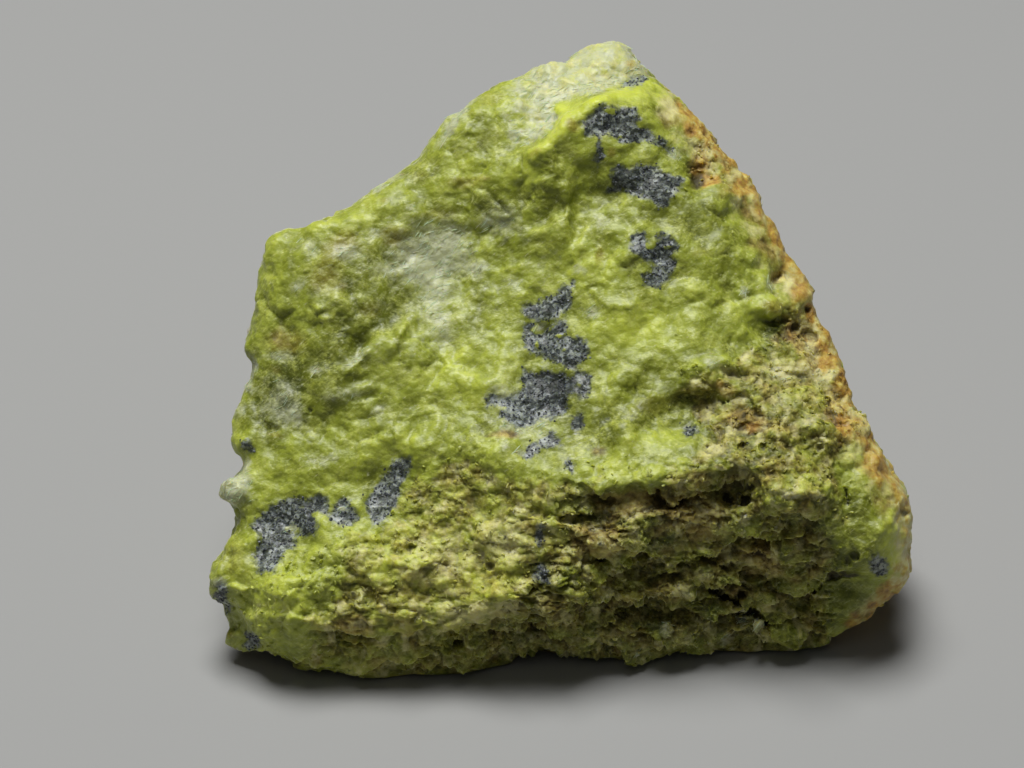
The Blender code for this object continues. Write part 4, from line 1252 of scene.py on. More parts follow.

# Tints of the front by place: u, v, half length, half width, strength, turn. The shade tints are painted
# shade, and painted light where negative
TINTS: dict[str, tuple[Lump, ...]] = {name: tuple(Lump(*row) for row in rows)
                                      for name, rows in {
    "frost": (
        (-3.6, 26.2, 3.4, 2.4, 0.6), (-6.2, 28.4, 1.6, 1.6, 0.5), (-32.9, 19.0, 1.5, 1.5, 1.0),
        (-1.0, 56.5, 1.2, 0.7, 1.0), (-9.0, 54.0, 3.6, 2.4, 0.15, 40.0), (-13.0, 42.5, 3.6, 3.0, 0.75),
        (-14.2, 41.2, 1.6, 1.6, 0.6), (-10.8, 44.0, 1.6, 1.8, 0.6), (-5.5, 46.0, 1.8, 1.6, 0.55),
        (-7.5, 45.8, 0.6, 0.6, 0.8), (-8.4, 41.1, 1.2, 0.7, 0.7), (-4.8, 40.0, 0.8, 0.5, 0.5),
        (-18.6, 44.7, 0.6, 0.6, 0.6), (-21.3, 42.8, 1.4, 1.1, 0.6), (-25.2, 43.2, 0.9, 0.9, 0.6),
        (-18.2, 41.2, 2.0, 0.8, 0.3), (-26.2, 39.5, 1.0, 0.5, 0.5, 30.0), (-15.0, 47.2, 0.4, 0.4, 0.8),
        (-28.4, 27.2, 2.4, 3.2, 0.45), (-12.0, 40.0, 14.0, 10.0, 0.2, 10.0), (-12.6, 38.2, 1.5, 2.6, 0.6),
        (-11.8, 34.6, 1.3, 1.8, 0.4), (-21.8, 28.6, 2.2, 0.6, 0.5, 5.0), (-26.6, 26.5, 0.9, 1.1, 0.6),
        (-28.4, 32.4, 1.5, 0.5, 0.6), (-24.5, 31.0, 0.8, 0.5, 0.7), (-20.3, 32.2, 1.8, 0.5, 0.6, 40.0),
        (-18.2, 27.0, 0.9, 0.6, 0.5), (-23.8, 22.0, 2.0, 0.6, 0.5), (-32.0, 19.6, 1.3, 1.6, 0.85),
        (-31.4, 21.6, 0.6, 0.7, 0.8), (-31.2, 33.3, 0.6, 1.2, 0.2), (-31.1, 29.5, 0.6, 1.1, 0.7),
        (-31.9, 26.9, 0.7, 0.9, 0.6), (-30.7, 31.4, 0.5, 0.9, 0.7), (-27.0, 15.3, 0.8, 0.45, 1.0, 10.0),
        (-21.8, 17.1, 0.3, 0.3, 0.9), (-34.0, 9.8, 0.8, 0.5, 0.9), (5.4, 49.0, 0.35, 0.3, 1.0),
        (11.6, 49.0, 0.5, 0.4, 1.0), (10.0, 41.2, 0.5, 0.7, 0.8), (-0.4, 36.5, 0.4, 0.4, 0.9),
        (-1.9, 35.3, 0.7, 0.3, 0.9, 25.0), (1.8, 24.8, 0.3, 0.3, 0.9), (-5.5, 23.3, 0.4, 0.4, 0.8),
        (-4.1, 22.8, 0.4, 0.4, 0.8), (-2.3, 23.1, 0.3, 0.3, 0.8), (11.5, 52.4, 1.0, 0.6, 0.6),
        (7.6, 3.0, 0.3, 0.3, 1.0), (19.9, 5.7, 1.3, 0.35, 0.8, -40.0), (18.5, 5.8, 0.5, 0.8, 0.8),
        (16.8, 4.0, 0.8, 0.5, 0.7), (10.6, 5.2, 0.6, 0.9, 0.6), (23.0, 18.5, 1.0, 0.5, 0.7),
        (34.5, 17.4, 0.8, 0.6, 0.8), (18.6, 38.8, 0.8, 0.9, 0.7), (21.0, 39.5, 0.9, 0.8, 0.6),
        (4.0, 46.0, 0.6, 1.0, 0.6), (7.6, 46.2, 1.0, 0.4, 0.5), (2.2, 41.0, 0.8, 0.5, 0.5),
        (3.2, 36.8, 1.0, 0.6, 0.6), (22.0, 30.8, 1.0, 0.8, 0.7), (21.8, 28.3, 1.0, 1.0, 0.5),
        (26.7, 30.6, 1.4, 0.5, 0.6), (24.6, 31.0, 0.7, 0.7, 0.6), (15.2, 31.8, 0.8, 0.9, 0.5),
        # These two whiten the upper left rim: painted highlight
        (-10.4, 56.2, 3.2, 0.6, 0.9, 56.0), (-20.5, 48.6, 5.0, 0.6, 0.9, 24.0),
    ),
    "shade": (
        (-29.0, 43.4, 1.8, 2.6, -0.7), (-24.6, 45.6, 2.0, 0.9, -0.7, 20.0),
        (-20.0, 45.6, 3.0, 1.0, -0.5, 20.0), (-10.0, 31.0, 5.0, 2.6, -0.5, 20.0),
        (6.0, 35.0, 3.4, 2.0, -0.5), (-17.0, 22.6, 4.0, 1.6, -0.5, 20.0), (8.0, 25.0, 6.0, 2.4, -0.5, 15.0),
        (7.0, 21.0, 5.0, 1.0, -0.7), (-14.0, 12.5, 8.0, 5.0, -1.2), (-28.0, 8.0, 4.0, 3.2, -1.0),
        (-14.0, 5.4, 3.6, 0.8, -0.8), (-6.0, 10.0, 5.0, 3.6, -0.9), (21.5, 37.4, 2.2, 1.2, -0.8, 5.0),
        (23.5, 18.8, 2.2, 1.6, -0.4), (23.0, 27.0, 4.0, 5.0, 0.4), (-12.0, 50.0, 7.0, 1.2, -0.3, 24.0),
        (14.0, 46.0, 6.0, 5.0, 0.35), (9.0, 28.5, 6.0, 3.0, 0.35, 10.0), (19.0, 24.0, 6.0, 4.0, 0.4),
        (-20.0, 40.0, 6.0, 5.0, 0.3), (-27.8, 28.2, 3.4, 3.6, 1.5), (-23.5, 33.0, 4.6, 4.0, 0.9),
        (-18.5, 40.0, 4.0, 3.0, 0.6), (28.5, 15.5, 3.6, 3.4, 0.9), (17.0, 23.6, 3.4, 2.6, 0.9),
        (4.0, 24.6, 3.4, 1.8, 0.5, 10.0), (10.6, 27.4, 5.0, 1.5, 1.1, 12.0), (17.4, 46.9, 1.3, 1.3, -0.9),
        (33.4, 13.6, 2.4, 4.4, -1.8), (-5.0, 19.0, 5.0, 2.6, -0.6), (2.6, 41.6, 2.8, 2.6, -0.9),
        (9.0, 35.6, 3.2, 2.4, -0.6), (-0.4, 7.4, 3.4, 1.8, 0.9), (2.0, 4.0, 12.0, 3.4, 0.5),
        (16.0, 8.0, 9.0, 6.0, 0.5, 10.0), (8.0, 15.0, 8.0, 2.6, 0.5, 5.0), (28.0, 14.0, 4.0, 6.0, 0.4),
        (-14.0, 51.0, 2.4, 1.2, 0.7, 20.0), (-7.0, 47.5, 3.5, 1.0, 0.7), (-22.6, 26.8, 1.3, 1.3, 0.8),
        (-17.5, 35.8, 2.4, 0.7, 0.9, 50.0), (-18.8, 31.5, 3.0, 0.7, 0.4, 40.0),
        (-19.5, 33.8, 2.4, 0.6, 0.4, 45.0), (-27.2, 41.8, 0.6, 1.4, 0.6),
        (-24.0, 43.3, 1.7, 0.5, 0.6, -60.0), (-16.2, 44.2, 1.6, 0.8, 0.5), (-18.9, 42.6, 0.9, 0.8, 0.6),
        (-21.0, 39.2, 1.0, 1.3, 0.7), (-24.7, 39.2, 0.5, 1.0, 0.6), (-16.9, 37.0, 0.9, 1.0, 0.6),
        (-25.4, 42.2, 0.6, 0.7, 0.6), (-3.8, 49.0, 0.4, 4.0, 0.7), (-1.8, 47.5, 1.7, 2.0, 0.7),
        (-9.0, 43.2, 0.5, 0.8, 0.8), (5.2, 48.7, 2.3, 1.3, 0.8), (2.5, 47.0, 0.6, 1.0, 0.6),
        (10.0, 46.1, 1.5, 1.4, 0.9), (13.2, 44.7, 1.3, 1.7, 0.8), (7.2, 41.5, 1.2, 1.0, 0.7),
        (12.0, 54.7, 1.5, 1.7, 0.5), (4.7, 24.5, 1.8, 1.5, 0.7), (-0.4, 28.4, 3.6, 2.6, 1.0),
        (15.0, 45.0, 1.0, 1.5, 0.6), (17.0, 45.0, 1.0, 0.5, 0.6), (22.4, 34.2, 2.4, 1.7, 1.6),
        (18.0, 33.5, 2.2, 0.5, 0.8, 15.0), (16.0, 27.5, 4.0, 1.0, 0.9), (25.5, 26.0, 2.6, 2.0, 0.5),
        (16.5, 19.0, 2.4, 1.4, 0.9, 15.0), (10.0, 15.0, 4.0, 1.8, 0.6), (4.0, 11.8, 2.4, 0.8, 0.7),
        (-5.0, 4.6, 5.0, 1.2, 0.7), (11.0, 6.6, 4.0, 1.0, 0.7), (30.0, 7.5, 4.0, 2.0, 0.5, 30.0),
        (-22.0, 1.5, 8.0, 2.4, -0.5), (20.5, 10.0, 2.0, 1.2, 0.8, -20.0),
    ),
    "honey": (
        (1.3, 55.4, 1.0, 0.9, 0.9), (11.5, 57.0, 2.0, 0.8, 0.7, -45.0), (-2.4, 52.8, 1.2, 0.5, 0.7, 30.0),
        (7.0, 61.6, 0.8, 0.9, 0.8), (-21.8, 43.6, 2.6, 1.8, 0.75, 30.0), (-16.5, 44.5, 2.0, 1.4, 0.8),
        (-23.5, 40.2, 2.4, 2.2, 0.7), (-27.5, 33.8, 2.8, 1.6, 0.8), (-12.0, 46.5, 2.4, 1.0, 0.6),
        (-19.0, 37.0, 1.6, 1.4, 0.6), (-17.5, 48.0, 1.0, 0.5, 0.6), (-7.0, 58.2, 2.4, 1.2, 0.5, 35.0),
        (-0.8, 43.8, 2.7, 1.7, 0.4), (5.2, 52.8, 0.5, 0.7, 0.8), (-33.0, 4.6, 0.7, 0.7, 0.8),
        (-32.6, 12.2, 2.6, 3.6, 0.5), (4.0, 42.5, 0.6, 1.4, 0.8), (8.5, 37.5, 1.0, 0.8, 0.5),
        (21.5, 37.4, 1.8, 0.9, 0.9), (21.2, 42.5, 1.6, 1.0, 0.9), (18.8, 50.0, 1.5, 1.0, 0.9),
        (28.0, 32.5, 0.9, 1.7, 0.9), (26.2, 35.5, 0.7, 0.9, 0.9), (30.2, 25.6, 1.1, 1.7, 0.8),
        (34.5, 13.8, 0.9, 2.0, 0.3), (9.0, 8.6, 5.0, 0.9, 0.7), (-0.4, 7.6, 3.4, 1.8, 0.5),
        (24.0, 17.6, 2.0, 1.4, 0.6), (-14.0, 50.4, 1.2, 0.8, 0.5, 20.0), (-9.5, 49.8, 2.6, 0.8, 0.7),
        (10.0, 27.6, 5.0, 1.6, 0.5, 12.0), (-7.0, 54.5, 3.0, 1.6, 0.4, 30.0), (14.0, 42.8, 2.0, 0.9, 0.5),
    ),
    "cream": (
        (23.6, 39.8, 1.4, 1.8, 0.95, -30.0), (20.0, 47.4, 1.0, 1.8, 0.8), (22.6, 31.0, 2.4, 1.0, 0.6),
        (17.0, 30.8, 1.6, 1.2, 0.5), (15.0, 23.0, 2.2, 1.0, 0.5, 10.0), (34.2, 12.0, 0.6, 0.8, 0.5),
        (31.0, 25.5, 0.8, 1.4, 0.8, 30.0), (26.8, 30.6, 1.4, 0.6, 0.8), (25.2, 33.0, 0.9, 2.0, 0.5, 30.0),
        (-12.0, 12.0, 6.0, 4.0, 0.45), (-5.0, 14.0, 3.0, 4.0, 0.45), (-9.0, 6.6, 5.0, 1.6, 0.5),
        (10.8, 57.2, 1.8, 1.0, 0.7, -45.0), (16.0, 26.0, 5.0, 3.0, 0.25), (23.0, 28.0, 4.0, 6.0, 0.25),
        (23.0, 18.4, 1.0, 0.6, 0.6), (-28.0, 7.0, 4.0, 3.0, 0.3), (18.4, 50.9, 1.0, 0.5, 0.6, -30.0),
    ),
    "porous": (
        (14.3, 51.8, 1.5, 2.6, 0.95), (21.8, 40.3, 1.1, 0.7, 1.0), (24.9, 33.4, 1.7, 4.0, 1.0, 15.0),
        (18.5, 26.0, 2.4, 1.4, 0.95), (22.0, 29.0, 5.0, 4.0, 0.4), (31.0, 16.0, 2.4, 3.4, 0.3),
        (16.5, 29.0, 1.4, 1.0, 0.8), (27.5, 27.5, 1.0, 2.2, 0.9), (-6.0, 18.0, 5.0, 3.5, 0.45),
        (4.0, 14.0, 5.0, 2.5, 0.8), (14.0, 16.0, 4.0, 3.0, 0.8), (20.0, 12.0, 4.0, 3.5, 0.7),
        (8.0, 17.6, 7.0, 1.6, 0.8), (-10.0, 9.0, 4.0, 3.0, 0.3), (-18.0, 12.0, 4.0, 3.0, 0.25),
        (26.0, 24.0, 3.0, 3.0, 0.4), (-3.8, 51.5, 0.5, 1.2, 0.5), (-8.0, 50.2, 2.6, 0.7, 0.5),
        (-21.8, 39.2, 0.9, 1.0, 0.5), (-28.0, 34.0, 1.2, 1.6, 0.5), (-28.4, 31.0, 1.1, 0.8, 0.5),
        (-28.4, 24.6, 1.4, 0.6, 0.5), (3.8, 22.9, 1.2, 0.8, 0.6), (-5.7, 24.6, 2.2, 0.6, 0.8),
        (-14.0, 19.5, 1.4, 2.0, 0.4), (-21.0, 5.4, 4.6, 1.6, 0.7), (-19.4, 1.6, 6.0, 1.0, 0.3),
    ),
    "rust": (
        (18.8, 49.2, 2.2, 0.7, 0.9, 10.0), (14.2, 51.4, 1.0, 2.4, 0.6), (7.0, 61.6, 0.7, 0.6, 0.6),
        (0.4, 59.8, 0.6, 0.5, 0.3), (23.0, 35.0, 1.0, 1.6, 0.6, 20.0), (26.6, 31.8, 1.0, 1.4, 0.9),
        (28.2, 25.6, 1.2, 2.2, 0.8, 20.0), (32.0, 20.6, 1.4, 2.4, 0.7, 35.0), (19.0, 25.4, 1.4, 0.6, 0.6),
        (16.0, 29.6, 1.0, 0.8, 0.5), (13.2, 55.4, 1.2, 1.3, 0.9), (15.4, 50.0, 1.1, 0.7, 0.9, 20.0),
        (18.2, 48.9, 1.2, 0.6, 0.8, 20.0), (21.0, 46.3, 0.9, 1.8, 0.7), (22.5, 42.6, 0.7, 1.2, 0.8),
        (24.0, 38.8, 1.2, 1.4, 0.8), (28.8, 29.6, 0.9, 1.4, 1.0), (33.6, 9.6, 2.4, 0.9, 1.0, 40.0),
        (34.9, 13.6, 0.8, 2.6, 1.0), (31.0, 22.5, 1.0, 1.6, 0.5), (25.2, 36.6, 0.9, 0.9, 0.8),
    ),
}.items()}


@dataclass
class Surface:
    """The skin's points while it is carved, in millimetres.

    Attributes:
        points: Rows of x, y and z.
        normals: Which way the skin faces at each point.
        facing: Cosines of the angle to the eye between which the front fades in.
    """

    points: Array
    normals: Array
    facing: Range = (-0.15, 0.1)

    @property
    def sheet(self) -> Array:
        """Rows of u, v and w."""
        return SHEET.lay_out(self.points)

    @property
    def flat(self) -> Array:
        """Rows of u, v and 0, for patterns that are the same at any depth."""
        sheet = self.sheet
        return np.column_stack([sheet[:, :2], np.zeros(len(sheet))])

    @property
    def front(self) -> Array:
        """1 where the skin faces the eye, 0 where it faces away."""
        sight = SHEET.eye - self.points
        sight /= np.linalg.norm(sight, axis=1)[:, None]
        return smooth_step((self.normals * sight).sum(axis=1), *self.facing)

    def strayed(self, size: float, reach: float, seed: int) -> tuple[Array, Array]:
        """Places on the sheet, pushed about so that the listed lines and outlines waver.

        Args:
            size: Distance over which they waver.
            reach: How far they are pushed.
            seed: Picks another pattern, with the next number.

        Returns:
            u and v of each point.
        """
        flat = self.flat
        u = flat[:, 0] + reach * swell(flat, size, seed, 2)
        v = flat[:, 1] + reach * swell(flat, size, seed + 1, 2)
        return u, v


@dataclass
class SkinPaint:
    """Works out the painted numbers of the skin's points, one layer over the other.

    Where a layer's edge is a range, the layer fades in over it: the signed distance to an outline
    or the distance to a line, or u or v, in millimetres.

    Attributes:
        surface: The skin's points.
        cuts: How deep each point lies in a crack or pit, in millimetres.
        waver: Over what distance the listed outlines waver, and how far.
        knob_edge: Edge of the knob.
        knob_left: Where it fades out to the left, in u.
        lip_edge: Edge of the yellow lip.
        lip_right: Where the lip gets less bright, in u.
        outer_crust: Edge of the rusty crust, from the stone's right edge inwards.
        inner_crust: Edge of the tan rock behind it, likewise.
        crust_foot: Where the tan rock fades out below, in v.
        broken_edge: Edge of the crumbly zones and of the grainy bulge.
        wall_edge: Edge of the shaded wall.
        darkest_cut: Depth at which the painted shade of a crack or pit is darkest.
        right_side: How far the skin has to face right to be the right side.
        underside: How far it has to face down to be the underside.
        mottling: Patches of the knob.
        stains: Patches of the rusty crust.
        tan_patches: Patches of the rock behind it.
        ledge_tops: Cream patches on the crumbly ledges, painted highlights for their lit tops.
        hidden_frost: Whitish patches of the hidden sides.
        hidden_shade: Their darker patches.
        hidden_honey: Their honey patches.
        numbers: The painted numbers so far.
    """

    surface: Surface
    cuts: Array
    waver: tuple[float, float] = (1.1, 0.25)
    knob_edge: Range = (-0.2, 0.5)
    knob_left: Range = (-7.8, -1.8)
    lip_edge: Range = (-0.15, 0.3)
    lip_right: Range = (6.0, 10.0)
    outer_crust: Range = (0.6, 2.9)
    inner_crust: Range = (2.2, 5.2)
    crust_foot: Range = (12.0, 19.0)
    broken_edge: Range = (-1.0, 2.0)
    wall_edge: Range = (-1.2, 0.8)
    darkest_cut: float = 0.8
    right_side: Range = (0.15, 0.6)
    underside: Range = (0.3, 0.8)
    mottling: Patches = Patches(0.9, Seed.MOTTLING, -0.3, 0.4)
    stains: Patches = Patches(1.3, Seed.STAINS, -0.4, 0.4)
    tan_patches: Patches = Patches(2.6, Seed.TAN_PATCHES, -0.5, 0.4)
    ledge_tops: Patches = Patches(1.6, Seed.LEDGE_TOPS, -0.2, 0.5, 3)
    hidden_frost: Patches = Patches(7.0, Seed.HIDDEN_FROST, 0.1, 0.6)
    hidden_shade: Patches = Patches(5.0, Seed.HIDDEN_SHADE, 0.0, 0.6)
    hidden_honey: Patches = Patches(8.0, Seed.HIDDEN_HONEY, 0.1, 0.6)
    numbers: dict[str, Array] = field(default_factory=dict)

    def __post_init__(self) -> None:
        """Read off what all layers need."""
        self.front, self.flat = self.surface.front, self.surface.flat
        self.u, self.v = self.surface.strayed(*self.waver, Seed.OUTLINE_STRAY)
        self.facing_right = smooth_step(self.surface.normals[:, 0], *self.right_side)

    def build(self) -> dict[str, Array]:
        """Lay all layers.

        Returns:
            A number from about 0 to 1 for each name, and for ore the distance into a dark patch.
        """
        self.tint()
        self.lay_knob()
        self.lay_lip()
        self.lay_crust()
        self.break_up()
        self.sprinkle_ore()
        # Painted shade in cracks and pits, by their depth
        self.numbers["hole"] = np.clip(self.cuts / self.darkest_cut, 0.0, 1.0)
        return self.numbers

    def within(self, outline: Line, edge: Range) -> Array:
        """1 inside an outline and 0 outside it."""
        return smooth_step(inside_outline(self.u, self.v, outline), *edge)

    def at_least(self, name: str, values: Array) -> None:
        """Raise a painted number where it is lower than these values."""
        self.numbers[name] = np.maximum(self.numbers[name], values)

    def tint(self) -> None:
        """Lay the listed tints on the front and random ones on the hidden sides."""
        points = self.surface.points
        facing_down = smooth_step(-self.surface.normals[:, 2], *self.underside)
        holes = swell(points, 9.0, Seed.HIDDEN_POROUS, 2)
        # On the hidden sides, porous brown and rust are laid more thickly where the skin faces down, so it
        # is darker towards the bottom
        hidden = {
            "frost": 0.6 * self.hidden_frost.share(points),
            "shade": self.hidden_shade.share(points),
            "honey": 0.7 * self.hidden_honey.share(points),
            "porous": 0.25 + 0.4 * facing_down + 0.35 * holes,
            "rust": 0.55 * self.facing_right + 0.2 * facing_down,
            "cream": 0.35 * self.facing_right,
        }
        # On the front the shade tints are painted shade, and negative ones painted light; on the hidden
        # sides shade is random darker patches
        for name, values in hidden.items():
            seen = covered(TINTS[name], self.u, self.v)
            self.numbers[name] = self.front * seen + (1.0 - self.front) * values

    def lay_knob(self) -> None:
        """Frost the knob, which is mottled and fades out to the left, and lighten it with negative shade:
        painted light.
        """
        knob = self.front * self.within(KNOB, self.knob_edge)
        knob *= smooth_step(self.u + 1.6 * self.mottling.noise(self.flat), *self.knob_left)
        mottled = self.mottling.share(self.flat)
        self.at_least("frost", (0.55 + 0.4 * mottled) * knob)
        self.at_least("cream", (0.45 - 0.3 * mottled) * knob)
        self.numbers["shade"] = self.numbers["shade"] * (1.0 - knob) - 0.6 * knob

    def lay_lip(self) -> None:
        """Brighten the lip with negative shade, painted light, most of all on its left, and keep the frost
        off it.
        """
        lip = self.front * self.within(LIP, self.lip_edge)
        # glow is painted light, laid as negative shade
        glow = 1.5 - 0.9 * smooth_step(self.u, *self.lip_right)
        self.numbers["shade"] = self.numbers["shade"] * (1.0 - lip) - glow * lip
        self.numbers["frost"] *= 1.0 - lip
        self.numbers["lip"] = lip

    def lay_crust(self) -> None:
        """Lay the rusty crust along the right edge, and the tan rock behind it."""
        edge = line_gap(self.u, self.v, CRUST_EDGE)[0]
        crust = self.front * (1.0 - smooth_step(edge, *self.outer_crust))
        inner = self.front * (1.0 - smooth_step(edge, *self.inner_crust))
        inner *= 0.2 + 0.8 * smooth_step(self.v, *self.crust_foot)
        stains = self.stains.share(self.flat)
        self.at_least("rust", (0.45 + 0.45 * stains) * crust)
        self.at_least("cream", (0.55 - 0.35 * stains) * crust)
        patches = self.tan_patches.share(self.flat)
        self.at_least("cream", 0.45 * patches * inner)
        self.at_least("honey", (0.75 - 0.35 * patches) * inner)
        self.at_least("porous", (0.62 - 0.3 * patches) * inner)

    def break_up(self) -> None:
        """Mark the crumbly zones, the shaded wall among them, darkened with painted shade, and the grainy
        bulge.
        """
        zones = [inside_outline(self.u, self.v, zone) for zone in CRUMBLY_ZONES]
        crumbly = np.max(zones, axis=0)
        grainy = np.maximum(crumbly, inside_outline(self.u, self.v, GRAINY_BULGE))
        frayed = 2.4 * swell(self.flat, 5.0, Seed.BROKEN_EDGE, 3) + 0.6
        broken = self.front * smooth_step(crumbly + frayed, *self.broken_edge)
        self.at_least("porous", 0.5 * broken)
        # Cream patches on the crumbly ledges, painted highlight where their tops catch the light
        self.at_least("cream", 0.5 * self.ledge_tops.share(self.flat) * broken)
        wall = self.within(SHADED_WALL, self.wall_edge)
        # Painted shade over the shaded wall
        self.numbers["shade"] += 0.75 * wall
        beside_wall = self.front * (1.0 - wall)
        self.numbers["grainy"] = beside_wall * smooth_step(grainy + frayed, *self.broken_edge)
        hidden = 0.3 * (1.0 - self.front) * self.facing_right
        self.numbers["broken"] = np.maximum((0.2 + 0.72 * wall) * broken, hidden)

    def sprinkle_ore(self) -> None:
        """Work out how far inside a dark patch each point lies: seen ones or hidden ones."""
        seen = np.full(len(self.u), -1.0)
        for outline in ORE_PATCHES.values():
            seen = np.maximum(seen, inside_outline(self.u, self.v, outline))
        seen -= 1.6 * covered(ORE_GAPS, self.u, self.v)
        hidden = 2.0 * swell(self.surface.points, 8.0, Seed.HIDDEN_ORE, 3) - 1.1
        hidden -= self.facing_right
        self.numbers["ore"] = np.clip(np.where(self.front > 0.5, seen, hidden), -1.0, 1.0)


def applied(mesh: bpy.types.Mesh, *modifiers: tuple[str, dict[str, object]]) -> bpy.types.Mesh:
    """The mesh with modifiers applied, in place of the one given.

    Args:
        mesh: The mesh, which is removed.
        *modifiers: Each one's kind and settings.

    Returns:
        The new mesh, under the old one's name.
    """
    holder = bpy.data.objects.new("blank", mesh)
    bpy.context.scene.collection.objects.link(holder)
    for kind, settings in modifiers:
        modifier = holder.modifiers.new(kind.lower(), kind)
        for name, value in settings.items():
            setattr(modifier, name, value)
    seen = holder.evaluated_get(bpy.context.evaluated_depsgraph_get())
    result, name = bpy.data.meshes.new_from_object(seen), mesh.name
    bpy.data.objects.remove(holder, do_unlink=True)
    bpy.data.meshes.remove(mesh)
    result.name = name
    return result


@dataclass
class StoneSkin:
    """The stone's visible surface: a fine closed mesh over the solid's form.

    Attributes:
        voxel: Mesh width of the hidden sides; the front has half of it.
        smoothing: Passes that take the solid's facets off.
        most_faces: How many triangles are left once the even stretches are thinned.
        waver: Over what distance the listed lines waver, and how far.
        ground: Heights between which the relief fades out above the resting patches.
        inset: How far the skin stays inside the solid's box, except at its foot.
        waxy_grains: Granules of the waxy rock.
        crumb_grains: Granules of the crumbly zones and the grainy bulge.
        shards: Shards of the broken rock.
        waxy_strength: Patches where the waxy granules stand out.
        crumb_strength: Patches where the shards stand out.
        finish: What the stone is made of.
    """

    voxel: float = 0.47
    smoothing: int = 5
    most_faces: int = 196_000
    waver: tuple[float, float] = (1.4, 0.22)
    ground: Range = (0.15, 1.6)
    inset: float = 0.02
    waxy_grains: Grains = Grains(((3.4, 0.36), (1.5, 0.17), (0.75, 0.05)), Seed.WAXY_GRAINS)
    crumb_grains: Grains = Grains(((2.4, 0.34), (1.2, 0.2), (0.65, 0.1)), Seed.CRUMB_GRAINS)
    shards: Shards = Shards(((3.8, 1.1), (1.9, 0.6), (0.9, 0.32)), Seed.SHARDS)
    waxy_strength: Patches = Patches(6.0, Seed.WAXY_STRENGTH, -0.3, 0.5)
    crumb_strength: Patches = Patches(4.0, Seed.CRUMB_STRENGTH, -0.4, 0.5)
    finish: WaxyLizardite = field(default_factory=WaxyLizardite)

    def build(self, node: bpy.types.Object) -> bpy.types.Object:
        """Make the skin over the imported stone.

        Args:
            node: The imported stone's object.

        Returns:
            The skin, in metres, with its material and painted numbers.
        """
        mesh = self.refined(self.remeshed(node))
        surface = self.read(mesh)
        cuts = self.carve_front(mesh, surface)
        paints = SkinPaint(surface, cuts).build()
        paints["relief"] = self.roughen(mesh, surface, paints)
        paints.update(self.sown(surface, paints))
        for name, values in paints.items():
            layer = mesh.attributes.new(name, "FLOAT", "POINT")
            layer.data.foreach_set("value", values.astype(np.float32))
        mesh = self.thinned(mesh)
        mesh.transform(Matrix.Scale(MM, 4))
        mesh.materials.clear()
        mesh.materials.append(self.finish.build())
        mesh.shade_smooth()
        skin = bpy.data.objects.new("lizardite_skin", mesh)
        bpy.context.scene.collection.objects.link(skin)
        return skin

    def remeshed(self, node: bpy.types.Object) -> bpy.types.Mesh:
        """An even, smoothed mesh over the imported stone's.

        Args:
            node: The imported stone's object.

        Returns:
            The mesh, in millimetres.
        """
        mesh = node.data.copy()
        mesh.transform(node.matrix_world)
        mesh.transform(Matrix.Scale(1.0 / MM, 4))
        form = bmesh.new()
        form.from_mesh(mesh)
        bmesh.ops.remove_doubles(form, verts=form.verts, dist=0.001)
        form.to_mesh(mesh)
        form.free()
        for name in [layer.name for layer in mesh.attributes if not layer.is_required]:
            mesh.attributes.remove(mesh.attributes[name])
        mesh.name = "lizardite_skin"
        return applied(mesh, ("REMESH", {"mode": "VOXEL", "voxel_size": self.voxel}),
                       ("SMOOTH", {"factor": 0.5, "iterations": self.smoothing}))

    def refined(self, mesh: bpy.types.Mesh) -> bpy.types.Mesh:
        """Cut the part that faces the eye once finer.

        Args:
            mesh: The even mesh.

        Returns:
            The same mesh.
        """
        eye = Vector(SHEET.eye)
        form = bmesh.new()
        form.from_mesh(mesh)
        edges = set()
        for face in form.faces:
            if face.normal.dot((eye - face.calc_center_median()).normalized()) > 0.0:
                edges.update(face.edges)
        bmesh.ops.subdivide_edges(form, edges=list(edges), cuts=1, use_grid_fill=True)
        form.to_mesh(mesh)
        form.free()
        return mesh

    def thinned(self, mesh: bpy.types.Mesh) -> bpy.types.Mesh:
        """Take triangles out where the mesh is most even, down to most_faces.

        Args:
            mesh: The carved mesh, which is removed.

        Returns:
            The thinned mesh.
        """
        mesh.calc_loop_triangles()
        share = self.most_faces / len(mesh.loop_triangles)
        mesh = applied(mesh, ("DECIMATE", {"ratio": share}))
        self.write(mesh, self.read(mesh))
        return mesh

    def read(self, mesh: bpy.types.Mesh) -> Surface:
        """Read the mesh's points and the way it faces there.

        Args:
            mesh: The mesh.

        Returns:
            Both.
        """
        count = len(mesh.vertices)
        points, normals = np.empty(count * 3), np.empty(count * 3)
        mesh.vertices.foreach_get("co", points)
        mesh.vertices.foreach_get("normal", normals)
        return Surface(points.reshape(-1, 3), normals.reshape(-1, 3))

    def write(self, mesh: bpy.types.Mesh, surface: Surface) -> None:
        """Put moved points back on the mesh, inside the solid's box.

        Args:
            mesh: The skin's mesh.
            surface: The moved points. How the skin faces there is read anew.
        """
        low, high = np.array(CAD_BOX[0]) / MM, np.array(CAD_BOX[1]) / MM
        low += [self.inset, self.inset, 0.0]
        surface.points = np.clip(surface.points, low, high - self.inset)
        mesh.vertices.foreach_set("co", surface.points.ravel())
        mesh.update()
        surface.normals = self.read(mesh).normals

    def off_ground(self, surface: Surface) -> Array:
        """0 on the resting patches, where nothing moves, and 1 well above them."""
        return smooth_step(surface.points[:, 2], *self.ground)

